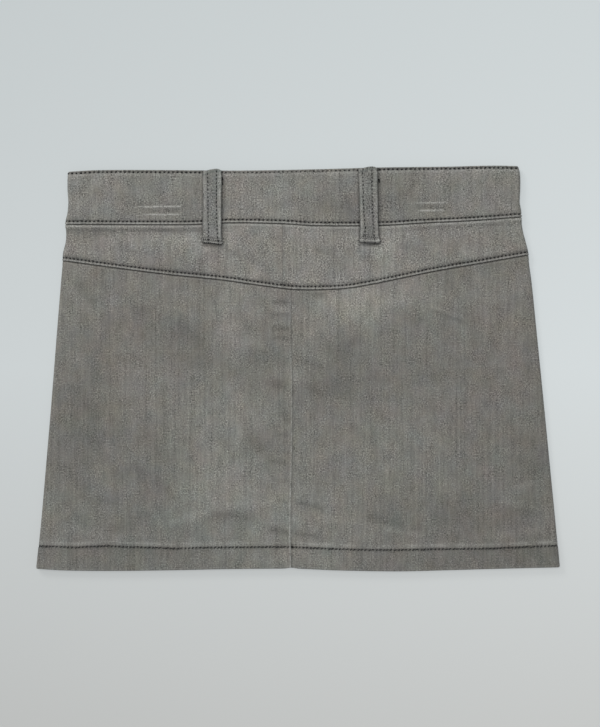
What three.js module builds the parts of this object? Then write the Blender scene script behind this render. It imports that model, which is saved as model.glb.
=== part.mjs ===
// A low-rise denim mini skirt lying flat on its front, so that its back faces up.
// Millimetres, +Z up. The origin is at the middle of the footprint, on the surface that the skirt lies on.
// +Y runs from the hem to the waist, and left and right are the wearer's own, as they look from behind.
//
// Every cloth piece is a closed wall. A wall's sections start at the side seam, half way up the folded
// edge, go round the fold, and then run in over the back or under the front.
import * as THREE from "three";

// Driving sizes of the cloth and of what is sewn from it.
const DENIM = 1.1; // one layer
const BAND = 2.2; // the waistband, denim folded on itself
const HEM = 2.4; // the turned-up hem
const LAPPED = 1.9; // a seam's lapped edge, with its allowances
const SEAM_GAP = 0.3; // between two pieces that are sewn together
const FOLD_REACH = 2.7; // how far the rounding of a folded side reaches in
const AIR_REACH = 70; // from a side to where the back stands fully clear of the front
const CALM_REACH = 25; // from a side to where the soft folds reach their full height
const FRONT_DIP = 12; // how much lower the waist is at the centre front
const FRONT_EDGE_DROP = 0.6; // how much lower it is all along
const FRONT_HEM_LIFT = 0.7; // how much the front's hem hides behind the back's
const HEM_DEPTH = 16.5; // from the hem's edge to its stitching
const HEM_NOTCH = { depth: 0.8, halfWidth: 4 }; // the hem's edge pulls up at the centre seam
const FRONT_SEAM_X = 0;
const BACK_YOKE_SEAM_X = -11.2;

// The outline of the folded sides, from the waist's corners to the hem's.
const SIDES = [
  { y: 153, left: -171.3, right: 165.2 },
  { y: 146, left: -172.8, right: 166.8 },
  { y: 135, left: -173.1, right: 166.9 },
  { y: 125, left: -172.5, right: 166.5 },
  { y: 117, left: -173.2, right: 167.6 },
  { y: 109, left: -174.7, right: 168.0 },
  { y: 102, left: -174.1, right: 169.0 },
  { y: 95, left: -174.5, right: 170.8 },
  { y: 87, left: -176.2, right: 172.7 },
  { y: 78, left: -176.7, right: 173.6 },
  { y: 65, left: -177.8, right: 175.3 },
  { y: 27, left: -180.9, right: 179.1 },
  { y: -25, left: -185.0, right: 184.4 },
  { y: -70, left: -188.8, right: 188.7 },
  { y: -115, left: -192.7, right: 193.1 },
  { y: -152, left: -196.5, right: 196.5 },
];

// The waistband's top edge.
const WAIST_EDGE = [
  { x: -174, y: 147.8 },
  { x: -150, y: 149.2 },
  { x: -96, y: 149.1 },
  { x: -42, y: 148.6 },
  { x: 12, y: 149.5 },
  { x: 66, y: 151.3 },
  { x: 111, y: 151.8 },
  { x: 147, y: 152.6 },
  { x: 168, y: 152.2 },
];

// The seam between waistband and yoke.
const WAIST_SEAM = [
  { x: -176, y: 108.4 },
  { x: -111, y: 108.3 },
  { x: -79, y: 108.5 },
  { x: -50, y: 109.6 },
  { x: -10, y: 109.0 },
  { x: 12, y: 107.6 },
  { x: 64, y: 107.8 },
  { x: 93, y: 109.2 },
  { x: 129, y: 111.2 },
  { x: 170, y: 114.3 },
];

// The seam between yoke and back panels, a shallow V.
const YOKE_SEAM = [
  { x: -178, y: 81.2 },
  { x: -151, y: 77.7 },
  { x: -99, y: 71.2 },
  { x: -57, y: 66.6 },
  { x: -25, y: 62.3 },
  { x: -4, y: 59.7 },
  { x: 17, y: 59.5 },
  { x: 38, y: 60.6 },
  { x: 59, y: 64.2 },
  { x: 101, y: 73.0 },
  { x: 132, y: 78.5 },
  { x: 176, y: 86.0 },
];

// The hem's lower edge.
const HEM_EDGE = [
  { x: -197, y: -150.2 },
  { x: -176, y: -151.5 },
  { x: -140, y: -151.9 },
  { x: -96, y: -151.4 },
  { x: -50, y: -150.5 },
  { x: 0, y: -150.3 },
  { x: 30, y: -151.5 },
  { x: 75, y: -152.2 },
  { x: 111, y: -151.4 },
  { x: 147, y: -150.4 },
  { x: 197, y: -149.2 },
];

// The seam down the middle of the back panels.
const BACK_SEAM = [
  { y: -152, x: -5.9 },
  { y: 60, x: -4.9 },
];

// How high the back's face stands: at the sides, and how much more in the middle, where air is caught.
const STACK = [
  { y: -153, side: 5.3, air: 0.2 },
  { y: -134, side: 5.2, air: 0.3 },
  { y: -110, side: 4.3, air: 0.7 },
  { y: -40, side: 4.1, air: 1.2 },
  { y: 40, side: 4.1, air: 1.0 },
  { y: 80, side: 4.5, air: 1.0 },
  { y: 108, side: 4.9, air: 1.3 },
  { y: 153, side: 4.9, air: 1.3 },
];

// The largest soft folds of the back. A ridge has a height over 0, and a trough one under 0.
const FOLDS = [
  { x0: -106, y0: -123, x1: 49, y1: -106, bow: 12, width: 6, height: 0.8 },
  { x0: -78, y0: -116, x1: -28, y1: -111, bow: 2, width: 5, height: -0.5 },
  { x0: 0, y0: -101, x1: 50, y1: -103, bow: -5, width: 4, height: -0.5 },
  { x0: 2, y0: -114, x1: 92, y1: -123, bow: 3, width: 6, height: 0.6 },
  { x0: 134, y0: -84, x1: 188, y1: -95, bow: 2, width: 7, height: 0.6 },
  { x0: -138, y0: 39, x1: -48, y1: 0, bow: 8, width: 13, height: -0.6 },
  { x0: -136, y0: 42, x1: -168, y1: -52, bow: -8, width: 13, height: -0.6 },
  { x0: 4, y0: -18, x1: 58, y1: 24, bow: 5, width: 12, height: -0.6 },
  { x0: 54, y0: 21, x1: 150, y1: 46, bow: -6, width: 13, height: -0.5 },
  { x0: 18, y0: 48, x1: 108, y1: 62, bow: -2, width: 8, height: 0.5 },
  { x0: -38, y0: -12, x1: -58, y1: -96, bow: 3, width: 16, height: 0.6 },
  { x0: 86, y0: -34, x1: 24, y1: -66, bow: 4, width: 18, height: 0.5 },
];

// The loops on the back, by the middle of their upper and lower ends.
const LOOP_WIDTH = 14.1;
const BACK_LOOPS = [
  { name: "belt_loop_back_left", top: [-63.9, 150.0], foot: [-63.7, 93.3] },
  { name: "belt_loop_back_right", top: [53.2, 151.8], foot: [53.9, 93.3] },
];

// The loops on the front, pressed flat by the skirt's weight.
const FRONT_LOOP = { fromMiddle: 100, length: 56, thick: 1.5, corner: 1.5, aboveBand: 1 };

// The metal button that closes the waistband at the front.
const BUTTON = { x: 14, radius: 8.5, thick: 2.0 };

// The front's cloth is lifted where a loop or the button lies under it: evenly over this margin around it,
// and then easing off over this distance.
const LIFT_MARGIN = 4.5;
const LIFT_EASE = 16;

// A smooth curve through a table's rows, which gives column `value` at a place in column `along`.
function through(rows, along, value) {
  const sorted = [...rows].sort((a, b) => a[along] - b[along]);
  const at = sorted.map((row) => row[along]);
  const known = sorted.map((row) => row[value]);
  const slope = known.map((_, i) => {
    const before = Math.max(i - 1, 0);
    const after = Math.min(i + 1, known.length - 1);
    return (known[after] - known[before]) / (at[after] - at[before]);
  });
  return (place) => {
    const t = THREE.MathUtils.clamp(place, at[0], at.at(-1));
    const next = Math.max(1, at.findIndex((edge) => edge >= t));
    const i = next - 1;
    const span = at[next] - at[i];
    const s = (t - at[i]) / span;
    const pull = s * (1 - s) * span;
    const eased = s * s * (3 - 2 * s);
    return known[i] + (known[next] - known[i]) * eased
      + pull * ((1 - s) * slope[i] - s * slope[next]);
  };
}

const sideLeft = through(SIDES, "y", "left");
const sideRight = through(SIDES, "y", "right");
const waistEdge = through(WAIST_EDGE, "x", "y");
const waistSeam = through(WAIST_SEAM, "x", "y");
const yokeSeam = through(YOKE_SEAM, "x", "y");
const plainHem = through(HEM_EDGE, "x", "y");
const backSeam = through(BACK_SEAM, "y", "x");
const stackSide = through(STACK, "y", "side");
const stackAir = through(STACK, "y", "air");

const ease = THREE.MathUtils.smoothstep;
const mix = THREE.MathUtils.lerp;

// The hem's edge with the small notch where the centre seam pulls it up.
function backHem(x) {
  const off = (x - backSeam(plainHem(x))) / HEM_NOTCH.halfWidth;
  return plainHem(x) + HEM_NOTCH.depth * Math.exp(-off * off);
}

const frontHem = (x) => plainHem(x) + FRONT_HEM_LIFT;

// How much lower a line of the front runs than the same line of the back.
function frontDip(x) {
  const share = THREE.MathUtils.clamp(x / 165, -1, 1);
  return FRONT_DIP * Math.cos(share * Math.PI / 2) ** 2;
}

const frontWaistEdge = (x) => waistEdge(x) - FRONT_EDGE_DROP - frontDip(x);
const frontWaistSeam = (x) => waistSeam(x) - frontDip(x);

BUTTON.y = (frontWaistEdge(BUTTON.x) + frontWaistSeam(BUTTON.x)) / 2;

// A soft-edged lift over a box, such as the cloth over something that lies under it.
function liftOver(x, y, box) {
  const dx = Math.max(Math.abs(x - box.x) - box.halfX, 0);
  const dy = Math.max(Math.abs(y - box.y) - box.halfY, 0);
  return box.height * (1 - ease(Math.hypot(dx, dy), 0, LIFT_EASE));
}

const frontLoopTop = (x) => frontWaistEdge(x) + FRONT_LOOP.aboveBand;

const LIFTS = [-FRONT_LOOP.fromMiddle, FRONT_LOOP.fromMiddle].map((x) => ({
  x,
  y: frontLoopTop(x) - FRONT_LOOP.length / 2,
  halfX: LOOP_WIDTH / 2 + LIFT_MARGIN,
  halfY: FRONT_LOOP.length / 2 + LIFT_MARGIN,
  height: FRONT_LOOP.thick + SEAM_GAP,
}));
LIFTS.push({
  x: BUTTON.x,
  y: BUTTON.y,
  halfX: BUTTON.radius + LIFT_MARGIN,
  halfY: BUTTON.radius + LIFT_MARGIN,
  height: BUTTON.thick + SEAM_GAP,
});

// The height of the front's outer face over the surface: 0, but for what lies under it.
const underside = (x, y) => Math.max(...LIFTS.map((box) => liftOver(x, y, box)));

// One soft fold's height at a point.
function foldAt(x, y, fold) {
  const length = Math.hypot(fold.x1 - fold.x0, fold.y1 - fold.y0);
  const ux = (fold.x1 - fold.x0) / length;
  const uy = (fold.y1 - fold.y0) / length;
  const t = ((x - fold.x0) * ux + (y - fold.y0) * uy) / length;
  if (t <= 0 || t >= 1) return 0;
  const off = (y - fold.y0) * ux - (x - fold.x0) * uy;
  const across = (off - fold.bow * 4 * t * (1 - t)) / fold.width;
  return fold.height * Math.exp(-across * across) * ease(t, 0, 0.25) * ease(1 - t, 0, 0.25);
}

// The height of the back panels' outer face. Yoke and waistband stand a little over it.
function backFace(x, y) {
  const inward = Math.min(x - sideLeft(y), sideRight(y) - x);
  const calm = ease(inward, 0, CALM_REACH);
  const folds = FOLDS.reduce((sum, fold) => sum + foldAt(x, y, fold), 0);
  return stackSide(y) + stackAir(y) * ease(inward, 0, AIR_REACH) + calm * folds;
}

// The height of the seam along a folded side.
const sideSeamHeight = (y) => stackSide(y) / 2;

const LAYER_BACK = { up: 1, face: backFace };
const LAYER_FRONT = { up: -1, face: underside };

// The sections of each piece, from its lower edge to its upper edge. `share` of the way up and `offset` on
// from there is where the section lies. `wall` is its thickness and `lift` how far its face stands out.
const BACK_PANEL_ROWS = [
  { share: 0, offset: 0, wall: 1.3, lift: -0.55 },
  { share: 0, offset: 1.2, wall: HEM, lift: 0 },
  { share: 0, offset: HEM_DEPTH - 4, wall: HEM, lift: 0 },
  { share: 0, offset: HEM_DEPTH, wall: HEM, lift: -0.25 },
  { share: 0, offset: HEM_DEPTH + 2, wall: DENIM, lift: 0 },
  { share: 0.12, offset: 0, wall: DENIM, lift: 0 },
  { share: 0.165, offset: 0, wall: DENIM, lift: 0 },
  { share: 0.21, offset: 0, wall: DENIM, lift: 0 },
  { share: 0.26, offset: 0, wall: DENIM, lift: 0 },
  { share: 0.33, offset: 0, wall: DENIM, lift: 0 },
  { share: 0.41, offset: 0, wall: DENIM, lift: 0 },
  { share: 0.49, offset: 0, wall: DENIM, lift: 0 },
  { share: 0.57, offset: 0, wall: DENIM, lift: 0 },
  { share: 0.65, offset: 0, wall: DENIM, lift: 0 },
  { share: 0.73, offset: 0, wall: DENIM, lift: 0 },
  { share: 0.81, offset: 0, wall: DENIM, lift: 0 },
  { share: 0.89, offset: 0, wall: DENIM, lift: 0 },
  { share: 1, offset: -12, wall: DENIM, lift: 0.1 },
  { share: 1, offset: -3, wall: DENIM, lift: 0.15 },
  { share: 1, offset: -SEAM_GAP / 2, wall: DENIM, lift: -0.1 },
];
const YOKE_ROWS = [
  { share: 0, offset: SEAM_GAP / 2, wall: 1.1, lift: 0.2 },
  { share: 0, offset: 1, wall: LAPPED, lift: 0.85 },
  { share: 0, offset: 4, wall: LAPPED, lift: 0.75 },
  { share: 0, offset: 10, wall: DENIM, lift: 0.3 },
  { share: 0.62, offset: 0, wall: DENIM, lift: 0.1 },
  { share: 1, offset: -8, wall: DENIM, lift: 0.1 },
  { share: 1, offset: -2.5, wall: DENIM, lift: 0.1 },
  { share: 1, offset: -SEAM_GAP / 2, wall: DENIM, lift: -0.1 },
];
const BAND_ROWS = [
  { share: 0, offset: SEAM_GAP / 2, wall: 1.2, lift: 0.25 },
  { share: 0, offset: 1, wall: BAND, lift: 0.95 },
  { share: 0, offset: 5, wall: BAND, lift: 0.8 },
  { share: 0.38, offset: 0, wall: BAND, lift: 0.65 },
  { share: 0.68, offset: 0, wall: BAND, lift: 0.65 },
  { share: 1, offset: -5, wall: BAND, lift: 0.6 },
  { share: 1, offset: -1, wall: BAND, lift: 0.6 },
  { share: 1, offset: 0, wall: 1.2, lift: 0.1 },
];
const FRONT_PANEL_ROWS = [
  { share: 0, offset: 0, wall: 1.3, lift: -0.55 },
  { share: 0, offset: 1.2, wall: HEM, lift: 0 },
  { share: 0, offset: HEM_DEPTH, wall: HEM, lift: 0 },
  { share: 0, offset: HEM_DEPTH + 2, wall: DENIM, lift: 0 },
  { share: 0.2, offset: 0, wall: DENIM, lift: 0 },
  { share: 0.33, offset: 0, wall: DENIM, lift: 0 },
  { share: 0.47, offset: 0, wall: DENIM, lift: 0 },
  { share: 0.6, offset: 0, wall: DENIM, lift: 0 },
  { share: 0.72, offset: 0, wall: DENIM, lift: 0 },
  { share: 0.8, offset: 0, wall: DENIM, lift: 0 },
  { share: 0.86, offset: 0, wall: DENIM, lift: 0 },
  { share: 0.92, offset: 0, wall: DENIM, lift: 0 },
  { share: 1, offset: -8, wall: DENIM, lift: 0 },
  { share: 1, offset: -SEAM_GAP / 2, wall: DENIM, lift: 0 },
];
const FRONT_BAND_ROWS = [
  { share: 0, offset: SEAM_GAP / 2, wall: 1.4, lift: -0.4 },
  { share: 0, offset: 1, wall: BAND, lift: 0 },
  { share: 0.26, offset: 0, wall: BAND, lift: 0 },
  { share: 0.5, offset: 0, wall: BAND, lift: 0 },
  { share: 0.74, offset: 0, wall: BAND, lift: 0 },
  { share: 1, offset: -1, wall: BAND, lift: 0 },
  { share: 1, offset: 0, wall: 1.2, lift: -0.5 },
];

const FOLD_ANGLES = [0, 30, 60, 90].map(THREE.MathUtils.degToRad);

// The outer and inner points of one section's end that goes round a folded side. `inward` is +1 at the left.
function foldPoints(layer, row, sideX, y, inward) {
  const middle = sideSeamHeight(y);
  const face = layer.face(sideX + inward * FOLD_REACH, y) + layer.up * row.lift;
  const rise = Math.abs(face - middle);
  return FOLD_ANGLES.map((angle) => {
    const gap = layer.up * (SEAM_GAP / 2) * Math.cos(angle);
    const at = (inset) => new THREE.Vector3(
      sideX + inward * (FOLD_REACH - (FOLD_REACH - inset) * Math.cos(angle)),
      y,
      middle + gap + layer.up * (rise - inset) * Math.sin(angle),
    );
    return { outer: at(0), inner: at(row.wall) };
  });
}

// Where a section's point lies, between the lower and upper edges at its own x.
function rowHeight(piece, row, x) {
  const low = piece.low(x);
  return low + row.share * (piece.high(x) - low) + row.offset;
}

// The point a share of the way along a section, where both its side and its edge curves meet it. Each turn
// brings it closer.
function placeOn(piece, row, share) {
  let x = 0;
  let y = 0;
  for (let turn = 0; turn < 7; turn += 1) {
    y = rowHeight(piece, row, x);
    x = mix(piece.left(y), piece.right(y), share);
  }
  return { x, y: rowHeight(piece, row, x) };
}

// A section's points over its flat stretch, and round the sides it reaches.
function sectionOf(piece, row) {
  const { layer } = piece;
  const points = [];
  for (let i = 0; i <= piece.columns; i += 1) {
    const { x, y } = placeOn(piece, row, i / piece.columns);
    const atLeft = i === 0 && piece.foldLeft;
    const atRight = i === piece.columns && piece.foldRight;
    if (atLeft || atRight) {
      const inward = atLeft ? 1 : -1;
      const round = foldPoints(layer, row, x - inward * FOLD_REACH, y, inward);
      points.push(...(atLeft ? round : round.reverse()));
    } else {
      const face = layer.face(x, y) + layer.up * row.lift;
      points.push({
        outer: new THREE.Vector3(x, y, face),
        inner: new THREE.Vector3(x, y, face - layer.up * row.wall),
      });
    }
  }
  return points;
}

// A closed wall through sections that all have the same number of points.
function wallThrough(sections) {
  const rows = sections.length;
  const columns = sections[0].length;
  const positions = [];
  for (const side of ["outer", "inner"]) {
    sections.forEach((section) => section.forEach((point) => positions.push(...point[side])));
  }
  const outer = (r, c) => r * columns + c;
  const inner = (r, c) => rows * columns + outer(r, c);
  const faces = [];
  const quad = (a, b, c, d) => faces.push(a, b, c, a, c, d);
  for (let r = 0; r + 1 < rows; r += 1) {
    for (let c = 0; c + 1 < columns; c += 1) {
      quad(outer(r, c), outer(r, c + 1), outer(r + 1, c + 1), outer(r + 1, c));
      quad(inner(r, c), inner(r + 1, c), inner(r + 1, c + 1), inner(r, c + 1));
    }
    quad(outer(r, 0), outer(r + 1, 0), inner(r + 1, 0), inner(r, 0));
    quad(outer(r + 1, columns - 1), outer(r, columns - 1), inner(r, columns - 1), inner(r + 1, columns - 1));
  }
  for (let c = 0; c + 1 < columns; c += 1) {
    quad(outer(0, c + 1), outer(0, c), inner(0, c), inner(0, c + 1));
    quad(outer(rows - 1, c), outer(rows - 1, c + 1), inner(rows - 1, c + 1), inner(rows - 1, c));
  }
  const geometry = new THREE.BufferGeometry();
  geometry.setAttribute("position", new THREE.Float32BufferAttribute(positions, 3));
  geometry.setIndex(faces);
  geometry.computeVertexNormals();
  return geometry;
}

// The same wall with its faces turned round, for sections that were laid out the other way.
function turned(geometry) {
  const index = geometry.getIndex();
  for (let i = 0; i < index.count; i += 3) {
    const second = index.getX(i + 1);
    index.setX(i + 1, index.getX(i + 2));
    index.setX(i + 2, second);
  }
  geometry.computeVertexNormals();
  return geometry;
}

const denim = new THREE.MeshStandardMaterial({ color: 0x7a7974, roughness: 0.9, metalness: 0 });
const metal = new THREE.MeshStandardMaterial({ color: 0x77736c, roughness: 0.38, metalness: 1 });

const skirt = new THREE.Group();

function addMesh(name, geometry, material) {
  const mesh = new THREE.Mesh(geometry, material);
  mesh.name = name;
  skirt.add(mesh);
  return mesh;
}

function addCloth(name, piece, rows) {
  const wall = wallThrough(rows.map((row) => sectionOf(piece, row)));
  addMesh(name, piece.layer === LAYER_BACK ? wall : turned(wall), denim);
}

const insideLeft = (y) => sideLeft(y) + FOLD_REACH;
const insideRight = (y) => sideRight(y) - FOLD_REACH;
const leftOf = (seam) => (y) => seam(y) - SEAM_GAP / 2;
const rightOf = (seam) => (y) => seam(y) + SEAM_GAP / 2;

// The two halves of a layer's piece that a seam parts down the middle.
function addHalves(name, seam, shape, rows) {
  addCloth(`${name}_left`, { ...shape, left: insideLeft, right: leftOf(seam), foldLeft: true }, rows);
  addCloth(`${name}_right`, { ...shape, left: rightOf(seam), right: insideRight, foldRight: true }, rows);
}

function addBack() {
  addHalves("back_panel", backSeam,
    { layer: LAYER_BACK, low: backHem, high: yokeSeam, columns: 17 }, BACK_PANEL_ROWS);
  addHalves("back_yoke", () => BACK_YOKE_SEAM_X,
    { layer: LAYER_BACK, low: yokeSeam, high: waistSeam, columns: 16 }, YOKE_ROWS);
  addCloth("waistband_back", {
    layer: LAYER_BACK, low: waistSeam, high: waistEdge, columns: 34,
    left: insideLeft, right: insideRight, foldLeft: true, foldRight: true,
  }, BAND_ROWS);
}

function addFront() {
  const seam = () => FRONT_SEAM_X;
  addHalves("front_panel", seam,
    { layer: LAYER_FRONT, low: frontHem, high: frontWaistSeam, columns: 14 }, FRONT_PANEL_ROWS);
  addHalves("waistband_front", seam,
    { layer: LAYER_FRONT, low: frontWaistSeam, high: frontWaistEdge, columns: 16 }, FRONT_BAND_ROWS);
}

// A loop's shape from its upper end to its foot. `along` is its share of the length, `gap` how far it stands
// off the cloth under it, `thick` its thickness and `wide` its share of the loop's width.
const LOOP_ROWS = [
  { along: 0, gap: 0.3, thick: 1.0, wide: 0.98 },
  { along: 0.025, gap: 0.3, thick: 1.7, wide: 1 },
  { along: 0.1, gap: 0.45, thick: 1.5, wide: 1 },
  { along: 0.22, gap: 0.7, thick: 1.5, wide: 1 },
  { along: 0.36, gap: 0.8, thick: 1.5, wide: 1 },
  { along: 0.5, gap: 0.8, thick: 1.5, wide: 1 },
  { along: 0.62, gap: 0.7, thick: 1.5, wide: 1 },
  { along: 0.74, gap: 0.6, thick: 1.5, wide: 1 },
  { along: 0.84, gap: 0.5, thick: 1.5, wide: 1 },
  { along: 0.91, gap: 0.35, thick: 2.1, wide: 1.03 },
  { along: 0.975, gap: 0.3, thick: 2.3, wide: 1.13 },
  { along: 1, gap: 0.3, thick: 1.2, wide: 1.1 },
];
const LOOP_COLUMNS = 4;
const LOOP_EDGE_DROP = 0.35; // how far a loop's long edges round down
const YOKE_RISE = 0.2; // the yoke's face over the back's
const BAND_STEP = 0.75; // from there up to the waistband's face
const BAND_RUN_OFF = { from: -2, to: 15 }; // a loop comes down that step between here, below the seam

// The height of the cloth that a loop on the back lies over, with the waistband's step run off slowly.
function underLoop(x, y) {
  const past = ease(waistSeam(x) - y, BAND_RUN_OFF.from, BAND_RUN_OFF.to);
  return backFace(x, Math.min(y, waistEdge(x))) + YOKE_RISE + BAND_STEP * (1 - past);
}

function addBackLoop({ name, top, foot }) {
  const sections = LOOP_ROWS.map((row) => {
    const middle = { x: mix(top[0], foot[0], row.along), y: mix(top[1], foot[1], row.along) };
    const points = [];
    for (let i = 0; i <= LOOP_COLUMNS; i += 1) {
      const across = (2 * i) / LOOP_COLUMNS - 1;
      const x = middle.x + (across * LOOP_WIDTH * row.wide) / 2;
      const low = underLoop(middle.x, middle.y) + row.gap;
      const edge = Math.abs(across) === 1 ? LOOP_EDGE_DROP : 0;
      points.push({
        outer: new THREE.Vector3(x, middle.y, low + row.thick - edge),
        inner: new THREE.Vector3(x, middle.y, low),
      });
    }
    return points;
  });
  addMesh(name, turned(wallThrough(sections)), denim);
}

// A front loop is a flat strip with rounded corners, between the surface and the cloth that it lifts.
function addFrontLoop(name, x) {
  const { thick, length, corner } = FRONT_LOOP;
  const half = LOOP_WIDTH / 2;
  const quarter = Math.PI / 2;
  const outline = new THREE.Shape();
  outline.absarc(half - corner, corner - length, corner, -quarter, 0);
  outline.absarc(half - corner, -corner, corner, 0, quarter);
  outline.absarc(corner - half, -corner, corner, quarter, 2 * quarter);
  outline.absarc(corner - half, corner - length, corner, 2 * quarter, 3 * quarter);
  const strip = new THREE.ExtrudeGeometry(outline, { depth: thick, bevelEnabled: false, curveSegments: 4 });
  addMesh(name, strip, denim).position.set(x, frontLoopTop(x), 0);
}

// The button's head, turned about its own axis, with its face down on the surface.
function addButton() {
  const { radius, thick } = BUTTON;
  const profile = [
    [0, 0.35],
    [radius - 3, 0.35],
    [radius - 2.4, 0],
    [radius - 0.8, 0],
    [radius - 0.2, 0.3],
    [radius, 0.8],
    [radius - 0.4, 1.3],
    [radius - 2, thick - 0.4],
    [3.4, thick - 0.3],
    [3, thick],
    [0, thick],
  ].map(([r, h]) => new THREE.Vector2(r, h));
  const button = addMesh("button", new THREE.LatheGeometry(profile, 32), metal);
  button.rotation.x = Math.PI / 2;
  button.position.set(BUTTON.x, BUTTON.y, 0);
}

addBack();
addFront();
BACK_LOOPS.forEach(addBackLoop);
addFrontLoop("belt_loop_front_left", -FRONT_LOOP.fromMiddle);
addFrontLoop("belt_loop_front_right", FRONT_LOOP.fromMiddle);
addButton();

export default skirt;
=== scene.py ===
# A grey denim mini skirt laid flat with its back up, on a pale studio floor.
# Sizes and places are millimetres in the part's own frame, and become metres when a mesh is made.
import math

import bpy
import numpy as np
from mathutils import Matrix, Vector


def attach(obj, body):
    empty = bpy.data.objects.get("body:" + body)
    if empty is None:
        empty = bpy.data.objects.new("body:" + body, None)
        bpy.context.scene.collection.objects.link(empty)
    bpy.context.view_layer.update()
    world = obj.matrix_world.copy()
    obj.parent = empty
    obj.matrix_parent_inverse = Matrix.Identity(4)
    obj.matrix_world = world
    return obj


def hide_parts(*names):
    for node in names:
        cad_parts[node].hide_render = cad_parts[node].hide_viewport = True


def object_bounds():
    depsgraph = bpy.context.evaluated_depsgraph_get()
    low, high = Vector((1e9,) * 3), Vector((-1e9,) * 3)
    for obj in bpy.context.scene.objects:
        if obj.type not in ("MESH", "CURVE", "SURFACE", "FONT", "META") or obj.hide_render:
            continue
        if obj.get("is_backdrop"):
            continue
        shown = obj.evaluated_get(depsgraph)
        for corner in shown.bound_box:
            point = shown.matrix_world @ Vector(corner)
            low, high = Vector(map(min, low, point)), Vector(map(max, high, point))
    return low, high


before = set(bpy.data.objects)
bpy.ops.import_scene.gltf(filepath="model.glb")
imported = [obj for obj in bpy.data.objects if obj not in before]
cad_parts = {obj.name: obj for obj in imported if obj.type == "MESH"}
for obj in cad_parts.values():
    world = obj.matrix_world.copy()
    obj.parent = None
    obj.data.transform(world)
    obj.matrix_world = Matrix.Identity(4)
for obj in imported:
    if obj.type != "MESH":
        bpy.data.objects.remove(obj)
cad_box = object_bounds()

MM = 0.001
BODY = "root"
chance = np.random.RandomState(7)


def table(names, *rows):
    """A table's rows as one array for each named column."""
    return dict(zip(names.split(), np.array(rows, float).T))


# Driving sizes of the cloth. Its walls and gaps are as its solids have them.
DENIM = 1.1  # one layer
BAND = 2.2  # the waistband's two layers
HEM = 2.4  # the hem, turned up twice
LAPPED = 1.9  # a piece with its seam allowance behind it
SEAM_GAP = 0.3  # between a piece and the one that laps it
SEWN_GAP = 0.06  # between two pieces that are sewn edge to edge
FOLD_REACH = 2.7  # how far the fold at a side is rounded
FOLD_ANGLES = np.radians([0, 14, 28, 41, 53, 64, 74, 83])
AIR_REACH = 70  # how far in from a side the air between the layers still grows
CALM_REACH = 25  # how far in from a side its own folds and creases fade out
FRONT_DIP = 12  # how much lower the front's waist is in its middle
FRONT_EDGE_DROP = 0.6
FRONT_HEM_LIFT = 0.7
HEM_DEPTH = 16.5
HEM_NOTCH_DEPTH = 0.8
HEM_NOTCH_HALF_WIDTH = 4
BACK_YOKE_SEAM_X = -11.2
BACK, FRONT = 1, -1  # a layer, and which way its outer side looks

# How far from a seam the rows and columns of a grid keep their exact distance to it.
SEAM_ZONE = 10
COLUMN_ZONE = 8

# Each kind of cloth piece: the length and widths that its grid is laid out on, and how far its rows and
# columns are apart.
GRIDS = {
    "back_panel": dict(length=222, widths=(178, 184), rows=1.3, columns=1.35),
    "back_yoke": dict(length=38, widths=(160, 178), rows=1.2, columns=0.85),
    "waistband_back": dict(length=41, widths=(335,), rows=1.2, columns=0.85),
    "front_panel": dict(length=250, widths=(180, 180), rows=2.2, columns=2.2),
    "waistband_front": dict(length=40.4, widths=(170, 165), rows=1.6, columns=1.6),
}
# How far apart the pieces lie on the cloth that they are cut from.
PATTERN_OFFSETS = {"left": 0.0, "right": 730.0, "back": 1500.0}
PATTERN_SHIFT = 211
TAPE_ROWS = [(11.8, 5.0, 0.6)]  # where the waistband's rows are closer: the place, how far round it, the step

# What a crease of strength 1 does: its height, and the share of brightness painted on it, partly the wash's
# fading and partly painted highlight and shade.
CREASE_HEIGHT = 0.6
CREASE_FADE_AND_SHADE = 0.57

# Sizes of the sewing.
STITCH_IN = 2.3  # from a lapped edge to its row of stitches
EDGE_STITCH_IN = 1.55  # from the waistband's top edge to its row
WAIST_PITCH = 3.1
TOP_PITCH = 3.3
YOKE_PITCH = 2.9
HEM_PITCH = 2.75
LOOP_PITCH = 2.9
TACK_PITCH = 1.5
KNOT_PITCH = 1.3
THREAD = 0.66  # radius
SEAM_STITCH = dict(slant=12)
HEM_STITCH = dict(slant=40, share=1.25, thick=0.62, unevenness=14)
LOOP_STITCH = dict(share=0.64, thick=0.62, unevenness=8)
KNOT_STITCH = dict(share=1.2, thick=1.1)
# How far the stitches stand out of each layer, and out of its loops, in thread radii.
PROUD = {BACK: 0.25, FRONT: -0.4}
LOOP_PROUD = {BACK: 0.2, FRONT: -0.4}
# A seam is its row's place on a grid's length, its pitch, and which way from it the cloth is pulled in most.
HEM_SEAMS = [(HEM_DEPTH, HEM_PITCH, 1)]
YOKE_SEAMS = [(STITCH_IN, YOKE_PITCH, -1)]

# The outline and the seams of the back, traced on the photograph.

SIDES = table(
    "y left right",
    (153, -171.1, 165.5),
    (146, -172.6, 167.1),
    (135, -172.9, 167.3),
    (125, -172.3, 166.9),
    (117, -172.9, 168.1),
    (109, -174.5, 168.4),
    (102, -173.9, 169.5),
    (95, -174.3, 171.4),
    (87, -176.2, 173.3),
    (78, -176.8, 174.2),
    (65, -178.0, 176.0),
    (27, -181.1, 179.9),
    (-25, -185.2, 185.1),
    (-70, -189.0, 189.5),
    (-115, -192.9, 193.9),
    (-152, -196.6, 197.3),
)
WAIST_EDGE = table(
    "x y",
    (-174, 147.5),
    (-150, 148.8),
    (-96, 148.7),
    (-42, 148.4),
    (12, 149.3),
    (66, 150.8),
    (111, 151.3),
    (147, 152.2),
    (168, 151.8),
)
WAIST_SEAM = table(
    "x y",
    (-176, 108.1),
    (-111, 107.7),
    (-79, 107.8),
    (-50, 109.1),
    (-10, 108.4),
    (12, 107.0),
    (64, 107.2),
    (93, 108.9),
    (129, 110.7),
    (170, 113.8),
)
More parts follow.
